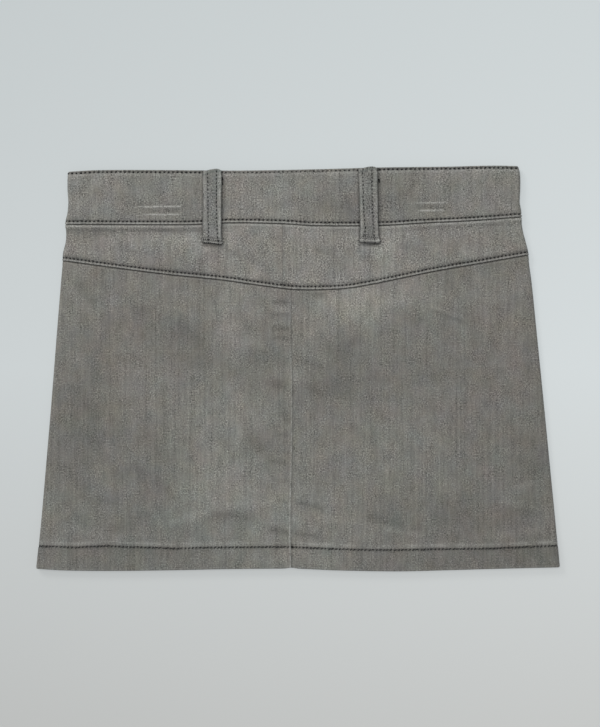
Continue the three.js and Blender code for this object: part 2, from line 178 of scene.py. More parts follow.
YOKE_SEAM = table(
    "x y",
    (-178, 81.2),
    (-151, 77.4),
    (-99, 70.7),
    (-57, 66.4),
    (-25, 61.9),
    (-4, 59.4),
    (17, 59.1),
    (38, 60.3),
    (59, 63.9),
    (101, 72.6),
    (132, 78.0),
    (176, 85.7),
)
HEM_EDGE = table(
    "x y",
    (-197, -150.2),
    (-176, -151.5),
    (-140, -151.9),
    (-96, -151.4),
    (-50, -150.5),
    (0, -150.3),
    (30, -151.5),
    (75, -152.2),
    (111, -151.4),
    (147, -150.4),
    (197, -149.2),
)
# The hem's row of stitches wanders a little, as it was sewn.
HEM_STITCHING = table(
    "x y",
    (-197, -133.2),
    (-178, -133.8),
    (-167, -134.3),
    (-157, -133.7),
    (-141, -133.3),
    (-126, -133.9),
    (-101, -134.6),
    (-92, -135.1),
    (-71, -134.4),
    (-33, -134.0),
    (-8, -133.8),
    (4, -134.3),
    (17, -134.9),
    (30, -135.5),
    (54, -136.1),
    (77, -136.1),
    (110, -135.4),
    (142, -135.2),
    (158, -134.5),
    (190, -133.1),
)
BACK_SEAM = table(
    "y x",
    (-152, -4.8),
    (-142, -4.95),
    (-114, -5.2),
    (-80, -4.4),
    (-45, -3.75),
    (-5, -4.05),
    (25, -4.7),
    (60, -4.8),
)
STACK = table(
    "y side air",
    (-153, 5.3, 0.2),
    (-134, 5.2, 0.3),
    (-110, 4.3, 0.7),
    (-40, 4.1, 1.2),
    (40, 4.1, 1.0),
    (80, 4.5, 1.0),
    (108, 4.9, 1.3),
    (153, 4.9, 1.3),
)

# Soft folds of the back, as its solids have them. A ridge has a height over 0, and a trough one under 0.
FOLDS = table(
    "x0 y0 x1 y1 bow width height",
    (-106, -123, 49, -106, 12, 6, 0.8),
    (-78, -116, -28, -111, 2, 5, -0.5),
    (0, -101, 50, -103, -5, 4, -0.5),
    (2, -114, 92, -123, 3, 6, 0.6),
    (134, -84, 188, -95, 2, 7, 0.6),
    (-138, 39, -48, 0, 8, 13, -0.6),
    (-136, 42, -168, -52, -8, 13, -0.6),
    (4, -18, 58, 24, 5, 12, -0.6),
    (54, 21, 150, 46, -6, 13, -0.5),
    (18, 48, 108, 62, -2, 8, 0.5),
    (-38, -12, -58, -96, 3, 16, 0.6),
    (86, -34, 24, -66, 4, 18, 0.5),
)

# Finer creases and puckers, whose colour is painted paler, and darker where the strength is under 0: partly
# the wash's fading, partly painted highlight and shade.
CREASES = table(
    "x0 y0 x1 y1 bow width strength",
    (-22, 49.5, -4, 49.0, 0.4, 1.9, -0.50),
    (-21, 44.2, -4, 43.7, 0.4, 2.0, 0.34),
    (-23, 39.9, -4, 39.6, 0.5, 1.6, -0.34),
    (-18, 34.2, -4, 33.8, 0.3, 1.8, 0.18),
    (-22, 29.2, -4, 28.8, 0.4, 1.9, -0.46),
    (-21, 22.4, -4, 22.0, 0.4, 1.7, -0.36),
    (-17, 18.8, -4, 18.6, 0.3, 1.5, 0.22),
    (-42, 14, -16, 5, 1.5, 4.4, -0.26),
    (-19, 11, -6, 3, 0.5, 2.8, -0.30),
    (-27, -9, -5, -16, 1.0, 3.4, -0.30),
    (-13, -31, -6, -43, 0.5, 2.8, -0.34),
    (-18, -50, -5, -50.5, 0.4, 1.8, -0.34),
    (-42, -51, -22, -64, 1.2, 4.8, -0.34),
    (-24, -70, -6, -71.5, 0.5, 2.2, -0.38),
    (-19, -84, -5, -85, 0.4, 1.6, -0.22),
    (-18, -99, -6, -102, 0.5, 2.0, -0.38),
    (-23, -120.5, -4, -124.5, 0.6, 2.7, -0.66),
    (-70, -108.5, -28, -114.5, 1.0, 3.6, -0.40),
    (-5, -99.5, 22, -107.5, 1.0, 2.0, -0.46),
    (44, -111.5, 84, -118.5, 0.6, 3.2, -0.32),
    (4, -12, 21, -20, 0.5, 3.2, -0.20),
    (20, -8, 46, -22, 1.5, 6.5, -0.14),
    (2, 6, 22, -1, 0.6, 2.8, -0.28),
    (18, 15, 52, 3, 1.6, 7.0, -0.10),
    (1, 57, 27, 53.5, 0.4, 2.0, -0.36),
    (-46, 47, -34, 23, 1.5, 3.8, -0.38),
    (66, 46, 96, 32, 1.2, 5.0, -0.24),
    (94, 48, 131, 35, 0.8, 1.5, 0.34),
    (94, 45.5, 131, 32, 0.8, 1.5, -0.36),
    (-132, 49, -104, 39, 1.0, 4.6, -0.24),
    (-93, 36, -67, 18, 1.0, 5.4, -0.22),
    (-169, 66, -150, 47, 1.0, 4.6, -0.30),
    (-58, 64, -40, 60, 0.5, 2.2, 0.30),
    (-22, -125.5, -7, -128.5, 0.6, 1.3, 0.22),
    (-5, -124.0, 19, -127.5, 0.8, 1.4, -0.40),
    (-112, -122.0, -52, -105.0, 1.5, 2.6, 0.20),
    (-62, -104.5, 0, -101.5, 1.5, 3.0, 0.26),
    (0, -112.0, 78, -121.5, 1.5, 2.6, 0.24),
    (60, -121.0, 100, -127.0, 0.8, 1.8, 0.22),
    (-172, -118.0, -120, -128.0, -3.0, 3.2, 0.22),
    (-164, -98.0, -130, -104.0, 1.5, 2.6, -0.22),
    (-110, -96.0, -92, -128.0, 1.0, 2.4, -0.18),
    (-60, 56.0, -48, 8.0, 2.0, 3.2, 0.18),
    (-70, -70.0, -44, -104.0, 3.0, 3.6, 0.18),
    (138, -128.0, 190, -121.0, 2.0, 2.8, 0.22),
    (150, -104.0, 186, -112.0, 1.5, 2.6, -0.24),
    (156, -92.0, 190, -84.0, 1.5, 2.4, 0.24),
    (58, -30.0, 64, -92.0, -2.0, 3.4, -0.14),
    (-166, 28.0, -154, -18.0, -3.0, 3.2, 0.18),
    (168, 40.0, 174, -14.0, 2.0, 3.0, -0.22),
    (-130, 88, -104, 84.5, 0.5, 2.2, -0.28),
    (-66, 90, -40, 85, 1.0, 3.0, -0.34),
    (-44, 84, -20, 74, 1.5, 3.6, -0.30),
    (46, 84, 63, 76, 0.8, 3.0, -0.34),
    (12, 89, 30, 85, 0.8, 2.6, -0.30),
    (72, 92, 86, 90, 0.4, 2.4, -0.28),
    (-166, 140.0, -122, 132.0, 2.0, 3.2, 0.14),
    (76, 134.0, 84, 116.0, 1.0, 2.6, -0.24),
    (36, 134.0, 42, 113.0, -1.0, 2.6, -0.24),
)

# Soft lighter and darker places painted into the cloth's colour, by their share of its brightness: partly the
# wash's uneven fading, partly painted shade and painted light.
FADES_AND_PAINTED_LIGHT = table(
    "x y reach_x reach_y turn strength",
    (47, 51, 36, 13, 12, 0.30),
    (-47, 38, 15, 26, 0, 0.15),
    (-55, -31, 26, 22, 10, 0.14),
    (-54, -88, 26, 20, 0, 0.22),
    (-6, -113, 32, 13, 0, 0.11),
    (18, -66, 32, 28, 0, 0.09),
    (90, -50, 34, 22, 30, 0.06),
    (-120, -12, 26, 20, 20, 0.06),
    # The M-shaped darker band over the layers inside the back: painted shade, and partly the wash's fading.
    (-158, -32, 13, 44, -8, -0.12),
    (-103, 25, 26, 14, -14, -0.11),
    (-78, 6, 24, 13, -35, -0.09),
    (-22, -8, 20, 11, -15, -0.10),
    (34, 13, 18, 12, 20, -0.11),
    (25, -15, 26, 9, 4, -0.10),
    (94, 6, 34, 18, 10, -0.05),
    (-140, -78, 36, 44, 10, -0.09),
    (150, -84, 36, 60, 0, -0.09),
    (180, -60, 10, 50, -4, -0.12),
    (95, -113, 46, 15, -8, -0.09),
    (-12, -54, 17, 8, 0, -0.10),
    (-46, -113, 17, 6, 3, -0.12),
    (120, 55, 44, 10, 14, -0.04),
    (-98, 74, 40, 5, -8, -0.08),
    (-100, 94, 46, 9, 0, 0.06),
    (-6, 90, 34, 16, 0, 0.06),
    (66, 98, 18, 9, 0, 0.07),
    (38, 106, 10, 9, 0, -0.10),
    (158, 94, 14, 22, 0, -0.07),
    (74, 128, 18, 20, 0, -0.14),
    (38, 122, 10, 18, 0, -0.10),
    (-98, 119, 22, 6, 0, -0.10),
    (-20, 128, 40, 18, 0, 0.04),
    (-155, 130, 16, 22, 0, -0.03),
    (6, -143, 44, 6, 0, 0.20),
    (-95, 79, 34, 7, -8, -0.10),
    (100, 77, 28, 6, 10, -0.10),
    (85, 50, 28, 9, 10, 0.12),
    (155, 62, 30, 9, 12, 0.12),
    (-150, -15, 32, 38, 0, -0.09),
    (8, 16, 9, 12, 0, 0.12),
    (-48, 5, 12, 8, 0, -0.09),
    (0, -38, 13, 9, 0, -0.07),
    (60, -28, 20, 9, 4, -0.07),
    (-10, -68, 9, 6, 0, -0.09),
    (28, -99, 24, 8, 0, 0.08),
    (160, -98, 17, 8, 0, 0.10),
    (-124, -121, 18, 9, 0, -0.09),
    (44, -124, 10, 5, 0, 0.14),
    (-80, 98, 13, 4, 0, 0.20),
    (-50, 98, 5, 6, 0, 0.18),
    (36, 98, 11, 4, 0, 0.18),
    (66, 89, 5, 9, -30, 0.22),
    (76, 101, 11, 5, 20, 0.16),
    (-2, -6, 6, 5, 0, 0.22),
    # Painted light under the back loops' feet, which lifts the shadow there.
    (-64, 90.5, 9, 3, 0, 0.25),
    (54, 90.5, 9, 3, 0, 0.25),
    (51, 52, 12, 7, 10, 0.08),
    (-11, -140, 3, 7, 0, 0.08),
    (-100, 51, 50, 7, 0, 0.05),
    (-150, -80, 14, 24, 0, 0.05),
    (-122, -78, 12, 12, 0, -0.05),
    (140, -76, 12, 12, 0, 0.05),
    (-150, -124, 30, 8, 0, -0.05),
    (-141, 126, 10, 8, 0, -0.05),
    (36, 124, 12, 9, 0, -0.05),
)

# Soft warmer and cooler places, by their share of the cloth's red.
TINTS = table(
    "x y reach_x reach_y turn strength",
    (-80, -118, 62, 26, 0, -0.024),
    (-51, -42, 14, 16, 0, -0.024),
    (-128, 4, 18, 30, 0, 0.026),
    (156, 8, 18, 44, -5, 0.026),
    (152, -118, 20, 14, 0, 0.026),
    (0, 66, 160, 16, 0, 0.006),
)

# Pale doubled marks on the waistband, worn where the tape inside presses through, and the hollow between
# them, which is painted shade.
TAPE_MARKS = table(
    "x0 x1 y ease width worn dark",
    (-128, -86.5, 121.0, 20, 0.55, 0.80, 0),
    (-119, -87, 115.2, 10, 0.55, 0.78, 0),
    (-116, -88, 118.0, 14, 1.6, 0, 0.26),
    (84, 113, 124.0, 9, 0.5, 0.66, 0),
    (87, 111, 118.2, 7, 0.55, 0.72, 0),
    (88, 111, 120.6, 7, 1.3, 0, 0.22),
)

# Each loop: how far its top corners sink, its brightness (painted shade where it is under 0), how far its
# tacks lie from its foot, its foot's tilt, how far its rows of stitches drift across it at each distance from
# its foot, and its thread knots.
PLAIN_LOOP = dict(sinks=(0, 0), fade=0.0, tacks=(2.6, 5.2), tilt=0.0, drift=[(0, 0), (60, 0)], knots=[])
# Each back loop has its ends too.
BACK_LOOPS = {
    "belt_loop_back_left": dict(
        top=(-63.9, 149.8),
        foot=(-63.9, 93.2),
        sinks=(1.9, 1.5),
        fade=0.0,
        tacks=(1.85, 4.45),
        tilt=0.8,
        drift=[(0, 0.9), (13, 0.6), (22, 0.3), (30, 0.0), (56, 0.0)],
        knots=[(-56.5, 141.8), (-56.4, 138.4)],
    ),
    "belt_loop_back_right": dict(
        top=(52.7, 151.5),
        foot=(53.8, 93.8),
        sinks=(1.9, 1.2),
        # A darker loop: painted shade.
        fade=-0.10,
        tacks=(4.5, 5.9),
        tilt=0.3,
        drift=[(0, 0.4), (12, 0.2), (24, -0.5), (33, -0.8), (44, -0.8), (56, -0.3)],
        knots=[(61.0, 140.2)],
    ),
}
LOOP_PEAK = 0.35  # where a loop's top is highest, as a share of its half width
LOOP_WIDTH = 14.1
LOOP_THICK = 1.5
LOOP_GAUGE = 6.5  # between a loop's two rows of stitches
LOOP_TURN = 1.2  # how tightly a loop turns over the waistband's edge
# A back loop's profile from its upper end to its foot, along its flat stretch.
LOOP_PROFILE = table(
    "along gap thick wide",
    (0, 0.3, 1.3, 1.02),
    (0.05, 0.35, 1.5, 1.05),
    (0.1, 0.45, 1.5, 1.03),
    (0.22, 0.7, 1.5, 1.01),
    (0.36, 0.8, 1.5, 1.0),
    (0.5, 0.8, 1.5, 1.0),
    (0.62, 0.7, 1.5, 1.0),
    (0.74, 0.6, 1.5, 1.0),
    (0.84, 0.5, 1.5, 1.0),
    (0.91, 0.35, 2.0, 1.05),
    (0.975, 0.3, 2.3, 1.17),
    (1, 0.3, 2.2, 1.15),
)
FRONT_LOOPS = {"belt_loop_front_left": -100, "belt_loop_front_right": 100}
FRONT_LOOP_LENGTH = 56
FRONT_LOOP_ABOVE = 1
PLAIN_ROW = 20  # a row of a loop's grid well above its foot
BACK_LOOP_SEED = 120
FRONT_LOOP_SEED = 150
LIFT_MARGIN = 4.5  # how far round a thing the cloth over it stays up
LIFT_EASE = 16  # and over how much more it comes down
BUTTON_X = 14
BUTTON_RADIUS = 8.5
BUTTON_THICK = 2.0
BUTTON_SIDES = 72
BUTTON_BEVEL = 0.22
# The rings of the button's face from its rim in: how wide each is, and how far it moves up into the button.
BUTTON_RINGS = ((1.1, 0.0), (0.5, 0.55), (2.6, 0.0), (0.5, -0.25), (1.4, -0.12))
FLY_WIDTH = 36
FLY_ROWS = (36, 42)  # how far its two rows of stitches lie from the centre seam
FLY_LENGTH = 104

# The flat cut of what shows of each cloth piece: width, length and area, in metres.
CUTS = {
    "back_panel_left": (0.196, 0.233, 0.0406),
    "back_panel_right": (0.203, 0.238, 0.0428),
    "back_yoke_left": (0.168, 0.050, 0.00645),
    "back_yoke_right": (0.187, 0.055, 0.00747),
    "waistband_back": (0.347, 0.045, 0.0144),
    "front_panel_left": (0.200, 0.260, 0.0475),
    "front_panel_right": (0.200, 0.266, 0.0473),
    "waistband_front_left": (0.178, 0.052, 0.00715),
    "waistband_front_right": (0.171, 0.056, 0.00715),
}

# Colours, and how strong the heather of each cloth is.
DENIM_COLOUR, DENIM_HEATHER = (0.176, 0.172, 0.156, 1), 1.12
BAND_COLOUR, BAND_HEATHER = (0.177, 0.173, 0.159, 1), 1.35
LOOP_COLOUR, LOOP_HEATHER = (0.177, 0.177, 0.165, 1), 1.5
# The pale colour that wear and painted highlights mix toward.
PALE_COLOUR = (0.43, 0.43, 0.405, 1)
THREAD_COLOURS = (0.006, 0.006, 0.007, 1), (0.024, 0.024, 0.024, 1)
NICKEL_COLOURS = (0.16, 0.145, 0.125, 1), (0.44, 0.42, 0.39, 1)

# The studio, in metres and watts.
FLOOR_SIZE = 6.0
FLOOR_DROP = 0.0001
# The floor glows, though it is no lamp: painted light that lifts the shadows on it.
FLOOR_GLOW = 0.55
# The floor's colours near, in the middle and far: painted light falling off towards its ends.
FLOOR_NEAR = (0.556, 0.567, 0.559, 1)
FLOOR_MIDDLE = (0.640, 0.680, 0.690, 1)
FLOOR_FAR = (0.582, 0.624, 0.634, 1)
SKY_COLOUR, SKY_STRENGTH = (0.94, 0.97, 1.0, 1), 0.36
LIGHTS = {
    "overhead": dict(place=(-0.25, 0.30, 2.4), size=1.6, power=30, colour=(1.0, 0.99, 0.97)),
    "upper_left": dict(place=(-1.3, 1.5, 1.25), size=0.8, power=19, colour=(1.0, 0.985, 0.96)),
}

# The camera.
FRAME_HEIGHT = 545.25  # what the picture's height takes in
FRAME_LEVEL = 5  # at this height over the floor
FRAME_MIDDLE = (1.8, 3.75)
LENS = 85
SENSOR = 36


def smooth(value, start, end):
    """0 before start and 1 after end, with an even ease between."""
    share = np.clip((value - start) / (end - start), 0, 1)
    return share * share * (3 - 2 * share)


def hump(value, place=0.0, width=1.0):
    """1 at a place, and 0 some widths away from it."""
    return np.exp(-(((value - place) / width) ** 2))


def curve(rows, along, column):
    """A smooth curve through a table's rows, as the solids draw it."""
    order = np.argsort(rows[along])
    at, known = rows[along][order], rows[column][order]
    before = np.maximum(np.arange(len(at)) - 1, 0)
    after = np.minimum(np.arange(len(at)) + 1, len(at) - 1)
    slope = (known[after] - known[before]) / (at[after] - at[before])

    def value_at(place):
        t = np.clip(place, at[0], at[-1])
        i = np.clip(np.searchsorted(at, t) - 1, 0, len(at) - 2)
        span = at[i + 1] - at[i]
        s = (t - at[i]) / span
        pull = s * (1 - s) * span
        eased = s * s * (3 - 2 * s)
        return known[i] + (known[i + 1] - known[i]) * eased + pull * ((1 - s) * slope[i] - s * slope[i + 1])

    return value_at


side_left = curve(SIDES, "y", "left")
side_right = curve(SIDES, "y", "right")
waist_edge = curve(WAIST_EDGE, "x", "y")
waist_seam = curve(WAIST_SEAM, "x", "y")
yoke_seam = curve(YOKE_SEAM, "x", "y")
plain_hem = curve(HEM_EDGE, "x", "y")
hem_stitching = curve(HEM_STITCHING, "x", "y")
back_seam = curve(BACK_SEAM, "y", "x")
stack_side = curve(STACK, "y", "side")
stack_air = curve(STACK, "y", "air")
loop_gap = curve(LOOP_PROFILE, "along", "gap")
loop_thick = curve(LOOP_PROFILE, "along", "thick")
loop_wide = curve(LOOP_PROFILE, "along", "wide")


def back_hem(x):
    """The hem's edge, with the notch where the centre seam pulls it up."""
    off = x - back_seam(plain_hem(x))
    return plain_hem(x) + HEM_NOTCH_DEPTH * hump(off, 0, HEM_NOTCH_HALF_WIDTH)


def front_hem(x):
    """The front's hem, a little above the back's."""
    return plain_hem(x) + FRONT_HEM_LIFT


def front_dip(x):
    """How much lower the front's waist is than the back's."""
    return FRONT_DIP * np.cos(np.clip(x / 165, -1, 1) * math.pi / 2) ** 2


def front_waist_edge(x):
    """The front waistband's top edge."""
    return waist_edge(x) - FRONT_EDGE_DROP - front_dip(x)


def front_waist_seam(x):
    """The seam under the front waistband."""
    return waist_seam(x) - front_dip(x)


def wander(seed, spacing, x, y=0.0, stretch=1.0):
    """Soft seeded noise from -1 to 1 that changes over `spacing` along x, and `stretch` times it along y."""
    grid = np.random.RandomState(seed).uniform(-1, 1, (64, 64))
    u, v = np.asarray(x) / spacing + 31.7, np.asarray(y) / (spacing * stretch) + 17.3
    i, j = np.floor(u).astype(int), np.floor(v).astype(int)
    s, t = smooth(u - i, 0, 1), smooth(v - j, 0, 1)
    i0, i1, j0, j1 = i % 64, (i + 1) % 64, j % 64, (j + 1) % 64
    low = grid[i0, j0] * (1 - s) + grid[i1, j0] * s
    high = grid[i0, j1] * (1 - s) + grid[i1, j1] * s
    return low * (1 - t) + high * t


BUTTON_Y = float(front_waist_edge(BUTTON_X) + front_waist_seam(BUTTON_X)) / 2


def lifts():
    """What the front lies over: each thing's middle, half sizes and height."""
    for x in FRONT_LOOPS.values():
        y = front_waist_edge(x) + FRONT_LOOP_ABOVE - FRONT_LOOP_LENGTH / 2
        yield x, y, LOOP_WIDTH / 2, FRONT_LOOP_LENGTH / 2, LOOP_THICK
    yield BUTTON_X, BUTTON_Y, BUTTON_RADIUS, BUTTON_RADIUS, BUTTON_THICK


def front_face(x, y):
    """The height of the front's outer face over the floor."""
    height = np.zeros(np.broadcast(x, y).shape)
    for mid_x, mid_y, half_x, half_y, thick in lifts():
        dx = np.maximum(np.abs(x - mid_x) - half_x - LIFT_MARGIN, 0)
        dy = np.maximum(np.abs(y - mid_y) - half_y - LIFT_MARGIN, 0)
        lift = (thick + SEAM_GAP) * (1 - smooth(np.hypot(dx, dy), 0, LIFT_EASE))
        height = np.maximum(height, lift)
    return height


def folds_at(folds, x, y):
    """The sum of a table's folds: each one's last column, fading away from its bowed line."""
    total = np.zeros(np.broadcast(x, y).shape)
    for x0, y0, x1, y1, bow, width, most in zip(*folds.values()):
        length = math.hypot(x1 - x0, y1 - y0)
        ux, uy = (x1 - x0) / length, (y1 - y0) / length
        t = ((x - x0) * ux + (y - y0) * uy) / length
        off = (y - y0) * ux - (x - x0) * uy
        across = (off - bow * 4 * t * (1 - t)) / width
        total += most * np.exp(-across * across) * smooth(t, 0, 0.25) * smooth(1 - t, 0, 0.25)
    return total


def back_face(x, y):
    """The height of the back's cloth, before what its seams add."""
    inward = np.minimum(x - side_left(y), side_right(y) - x)
    calm = smooth(inward, 0, CALM_REACH)
    soft = 0.10 * wander(3, 17, x, y, 1.5) + 0.05 * wander(4, 7, x, y, 1.7)
    folds = folds_at(FOLDS, x, y) + CREASE_HEIGHT * folds_at(CREASES, x, y)
    return stack_side(y) + stack_air(y) * smooth(inward, 0, AIR_REACH) + calm * (folds + soft)


class Finish:
    """What a seam or an edge does to the cloth at each point of a piece."""

    def __init__(self, x, lift, wall):
        self.lift = lift + 0 * x
        self.wall = wall + 0 * x
        self.relief = 0 * x
        # This value mixes the colour toward pale: real wear, and a painted highlight on ridges, folded edges
        # and the loops' rolled feet.
        self.worn = 0 * x
        # This value darkens the colour as painted shade, where shade would fall: in ditches, stitch grooves
        # and hollows, and round the loops.
        self.dark = 0 * x
        # This value lightens and darkens the colour: the wash's fading, and painted shade and light.
        self.fade = 0 * x
        # This value warms the colour, and cools it as painted shade on the loops' top folds.
        self.warmth_and_cool_shade = 0 * x


def round_off(distance, reach, drop):
    """How far a rounded edge of that reach has come down at a distance from its end."""
    share = 1 - np.clip(distance / reach, 0, 1)
    return drop * (1 - np.sqrt(1 - share * share))


def lapped_edge(finish, distance, x, seed, bead_wear_and_highlight, darkening_past_stitches):
    """The stitched edge of a piece that laps the next: a bead along it, pale with wear and a painted
    highlight, painted shadow in the ditch at its edge and round its stitches, and a darker band past them.
    """
    pull = 1 + 0.35 * wander(seed, 4.5, x) + 0.25 * wander(seed + 1, 11, x)
    finish.relief += 0.30 * pull * hump(distance, 1.15, 0.7)
    finish.relief -= 0.36 * hump(distance, STITCH_IN, 0.55)
    finish.relief -= round_off(distance, 0.9, 0.75)
    finish.relief += 0.10 * wander(seed + 2, 5, x) * hump(distance, 5.5, 2.5)
    finish.worn += bead_wear_and_highlight * (1 + 0.5 * wander(seed + 3, 5, x)) * hump(distance, 0.95, 0.45)
    # Painted shadow in the ditch at the edge, and painted shade round the row of stitches.
    finish.dark += (0.95 + 0.3 * wander(seed + 4, 2.5, x)) * hump(distance, 0, 0.35)
    finish.dark += 0.42 * hump(distance, STITCH_IN + 0.1, 0.85)
    # A darker band past the stitches.
    finish.dark += darkening_past_stitches * (1 + 0.4 * wander(seed + 5, 9, x)) * hump(distance, STITCH_IN + 1.5, 1.3)


def tucked_edge(finish, distance, x, seed, worn, ditch):
    """The edge of a piece that goes in under the one above: painted shadow in the ditch between them, and a
    pale line on its swell, partly wear and partly a painted highlight.
    """
    finish.relief -= round_off(distance, 0.8, 0.25)
    finish.relief += 0.14 * (1 + 0.5 * wander(seed, 6, x)) * hump(distance, 1.8, 1.1)
    finish.worn += worn * (1 + 0.6 * wander(seed + 1, 7, x)) * hump(distance, 1.3, 0.7)
    # Painted shadow in the ditch.
    finish.dark += (1.0 + 0.25 * wander(seed + 2, 3, x)) * hump(distance, 0, ditch)


def butted_edge(finish, distance, y, drop, ridge, worn, seed):
    """The edge of a piece at a plain seam, which rolls down into it."""
    finish.relief -= round_off(distance, 0.7, drop)
    finish.relief += ridge * (1 + 0.6 * wander(seed, 5, y)) * hump(distance, 1.0, 0.8)
    finish.worn += worn * (1 + 0.8 * wander(seed + 1, 2.4, y)) * hump(distance, 0.45, 0.6)


def places_at(places, x, y):
    """The sum of a table's soft places."""
    total = np.zeros(np.broadcast(x, y).shape)
    for mid_x, mid_y, reach_x, reach_y, turn, strength in zip(*places.values()):
        c, s = math.cos(math.radians(turn)), math.sin(math.radians(turn))
        dx, dy = x - mid_x, y - mid_y
        along, across = (dx * c + dy * s) / reach_x, (dy * c - dx * s) / reach_y
        total += strength * np.exp(-0.5 * (along * along + across * across) ** 1.2)
    return total


def washed_and_painted_light(finish, x, y, seed):
    """The cloth's soft lighter, darker, warmer and cooler places: partly the wash's fading and tint, partly
    painted light and shade on its creases and folds.
    """
    finish.warmth_and_cool_shade += places_at(TINTS, x, y)
    finish.fade += places_at(FADES_AND_PAINTED_LIGHT, x, y) + CREASE_FADE_AND_SHADE * folds_at(CREASES, x, y)
    finish.fade += 0.040 * wander(seed, 26, x, y, 1.3) + 0.028 * wander(seed + 1, 11, x, y, 1.2)


def loop_shade(finish, x, y):
    """The painted shadow round the back loops: a dark line beside them and below their feet, and a soft
    painted shade to the right of each.
    """
    for loop in BACK_LOOPS.values():
        mid_x = (loop["top"][0] + loop["foot"][0]) / 2
        beside = np.maximum(np.abs(x - mid_x) - LOOP_WIDTH / 2, 0)
        below = np.maximum(loop["foot"][1] - y, 0)
        finish.dark += 0.6 * np.exp(-((np.hypot(beside, below) / 0.85) ** 2))
        finish.dark += 0.9 * hump(below, 0.5, 1.0) * (1 - smooth(beside, 0.4, 1.4)) * (below > 0)
        finish.dark += 0.16 * smooth(x, mid_x, mid_x + 1) * hump(beside, 0, 3.0) * (1 - smooth(below, 0, 2))


def dress_waistband(x, y):
    """The back waistband: its lapped seam, its stitched top edge with painted shade along its stitches, the
    marks of its tape and the painted shadow round its loops.
    """
    seam, edge = y - waist_seam(x), waist_edge(x) - y
    finish = Finish(x, 0.6 + 0.3 * (1 - smooth(seam, 3, 14)), BAND)
    lapped_edge(finish, seam, x, 20, 0.75, 0.12)
    finish.relief -= round_off(edge, 1.1, 0.9)
    finish.relief -= 0.22 * hump(edge, EDGE_STITCH_IN, 0.5)
    # Painted shade along the top row of stitches, less of it between the loops.
    between_loops = smooth(x, -60, -48) * (1 - smooth(x, 38, 50))
    finish.dark += (0.5 - 0.25 * between_loops) * hump(edge, EDGE_STITCH_IN - 0.2, 0.9)
    finish.worn += (0.24 + 0.12 * wander(28, 12, x)) * hump(edge, 3.2, 0.9)
    finish.fade += (0.09 + 0.05 * wander(29, 30, x)) * np.exp(-np.maximum(edge - 2.5, 0) / 4)
    for x0, x1, mark_y, ease, width, worn, dark in zip(*TAPE_MARKS.values()):
        length = smooth(x, x0, x0 + ease) * smooth(-x, -x1, 3 - x1)
        line = hump(y, mark_y + 0.01 * (x - x0), width) * length * (1 + 0.3 * wander(27, 3, x))
        finish.relief += 0.20 * line * (worn - dark)
        finish.worn += worn * line
        finish.dark += dark * line
    loop_shade(finish, x, y)
    washed_and_painted_light(finish, x, y, 40)
    finish.fade += 0.07 + 0.06 * wander(31, 16, x, y)
    return finish


def dress_yoke(x, y, _):
    """A half of the yoke: it laps the panel below, its short middle seam shows as a soft line of painted
    shade, and a band of painted shade runs below the waist seam, where the seam allowance inside makes a
    step.
    """
    low, high = y - yoke_seam(x), waist_seam(x) - y
    wall = DENIM + (LAPPED - DENIM) * (1 - smooth(low, 4, 10))
    finish = Finish(x, 0.1 + 0.65 * (1 - smooth(low, 4, 11)), wall)
    lapped_edge(finish, low, x, 50, 0.55, 0.34)
    tucked_edge(finish, high, x, 56, 0.40, 0.5)
    away = np.abs(x - BACK_YOKE_SEAM_X) - SEWN_GAP / 2
    butted_edge(finish, away, y, 0.12, 0.0, 0.0, 59)
    # Painted shade along the middle seam.
    finish.dark += (0.30 + 0.10 * wander(58, 6, y)) * hump(away, 0.0, 1.7)
    # Painted shade where the seam allowance inside makes a step under the waist seam.
    allowance_step_shade = smooth(-x, 66, 76) + 0.5 * smooth(x, 70, 84)
    finish.dark += 0.58 * allowance_step_shade * (1 + 0.3 * wander(63, 10, x)) * hump(high, 4.0, 1.7)
    finish.dark += 0.22 * smooth(-x, 105, 135) * hump(high, 7.2, 2.4)
    loop_shade(finish, x, y)
    washed_and_painted_light(finish, x, y, 60)
    finish.fade += 0.165
    return finish


def hem_region(finish, x, from_stitching, from_edge):
    """The turned-up hem: thicker cloth, its row of stitches with painted shade along it, and the slanted drag
    that sewing leaves.
    """
    finish.relief -= round_off(from_edge, 1.1, 0.9)
    finish.relief -= 0.48 * hump(from_stitching, 0, 0.75)
    finish.relief -= 0.18 * smooth(from_stitching, -0.5, 2.5)
    drag = np.sin((x + 0.6 * from_edge) * 2 * math.pi / 5.7 + 2.2 * wander(71, 21, x))
    finish.relief += 0.018 * drag * smooth(from_edge, 2, 6) * (1 - smooth(from_stitching, -2, 0))
    finish.relief += 0.06 * wander(72, 4, x, from_stitching, 0.8) * hump(from_stitching, 3, 3)
    # Painted shade along the stitching's groove.
    finish.dark += (0.42 + 0.25 * wander(74, 8, x)) * hump(from_stitching, -0.2, 1.1)
    finish.worn += (0.27 + 0.24 * wander(73, 7, x)) * hump(from_stitching, 2.6, 1.4)
    finish.worn += 0.12 * hump(from_edge, 0.9, 0.6)
    finish.wall = np.where(from_stitching < 2, HEM, DENIM)
    finish.fade -= 0.12 * (1 - smooth(from_stitching, -1.5, 0))


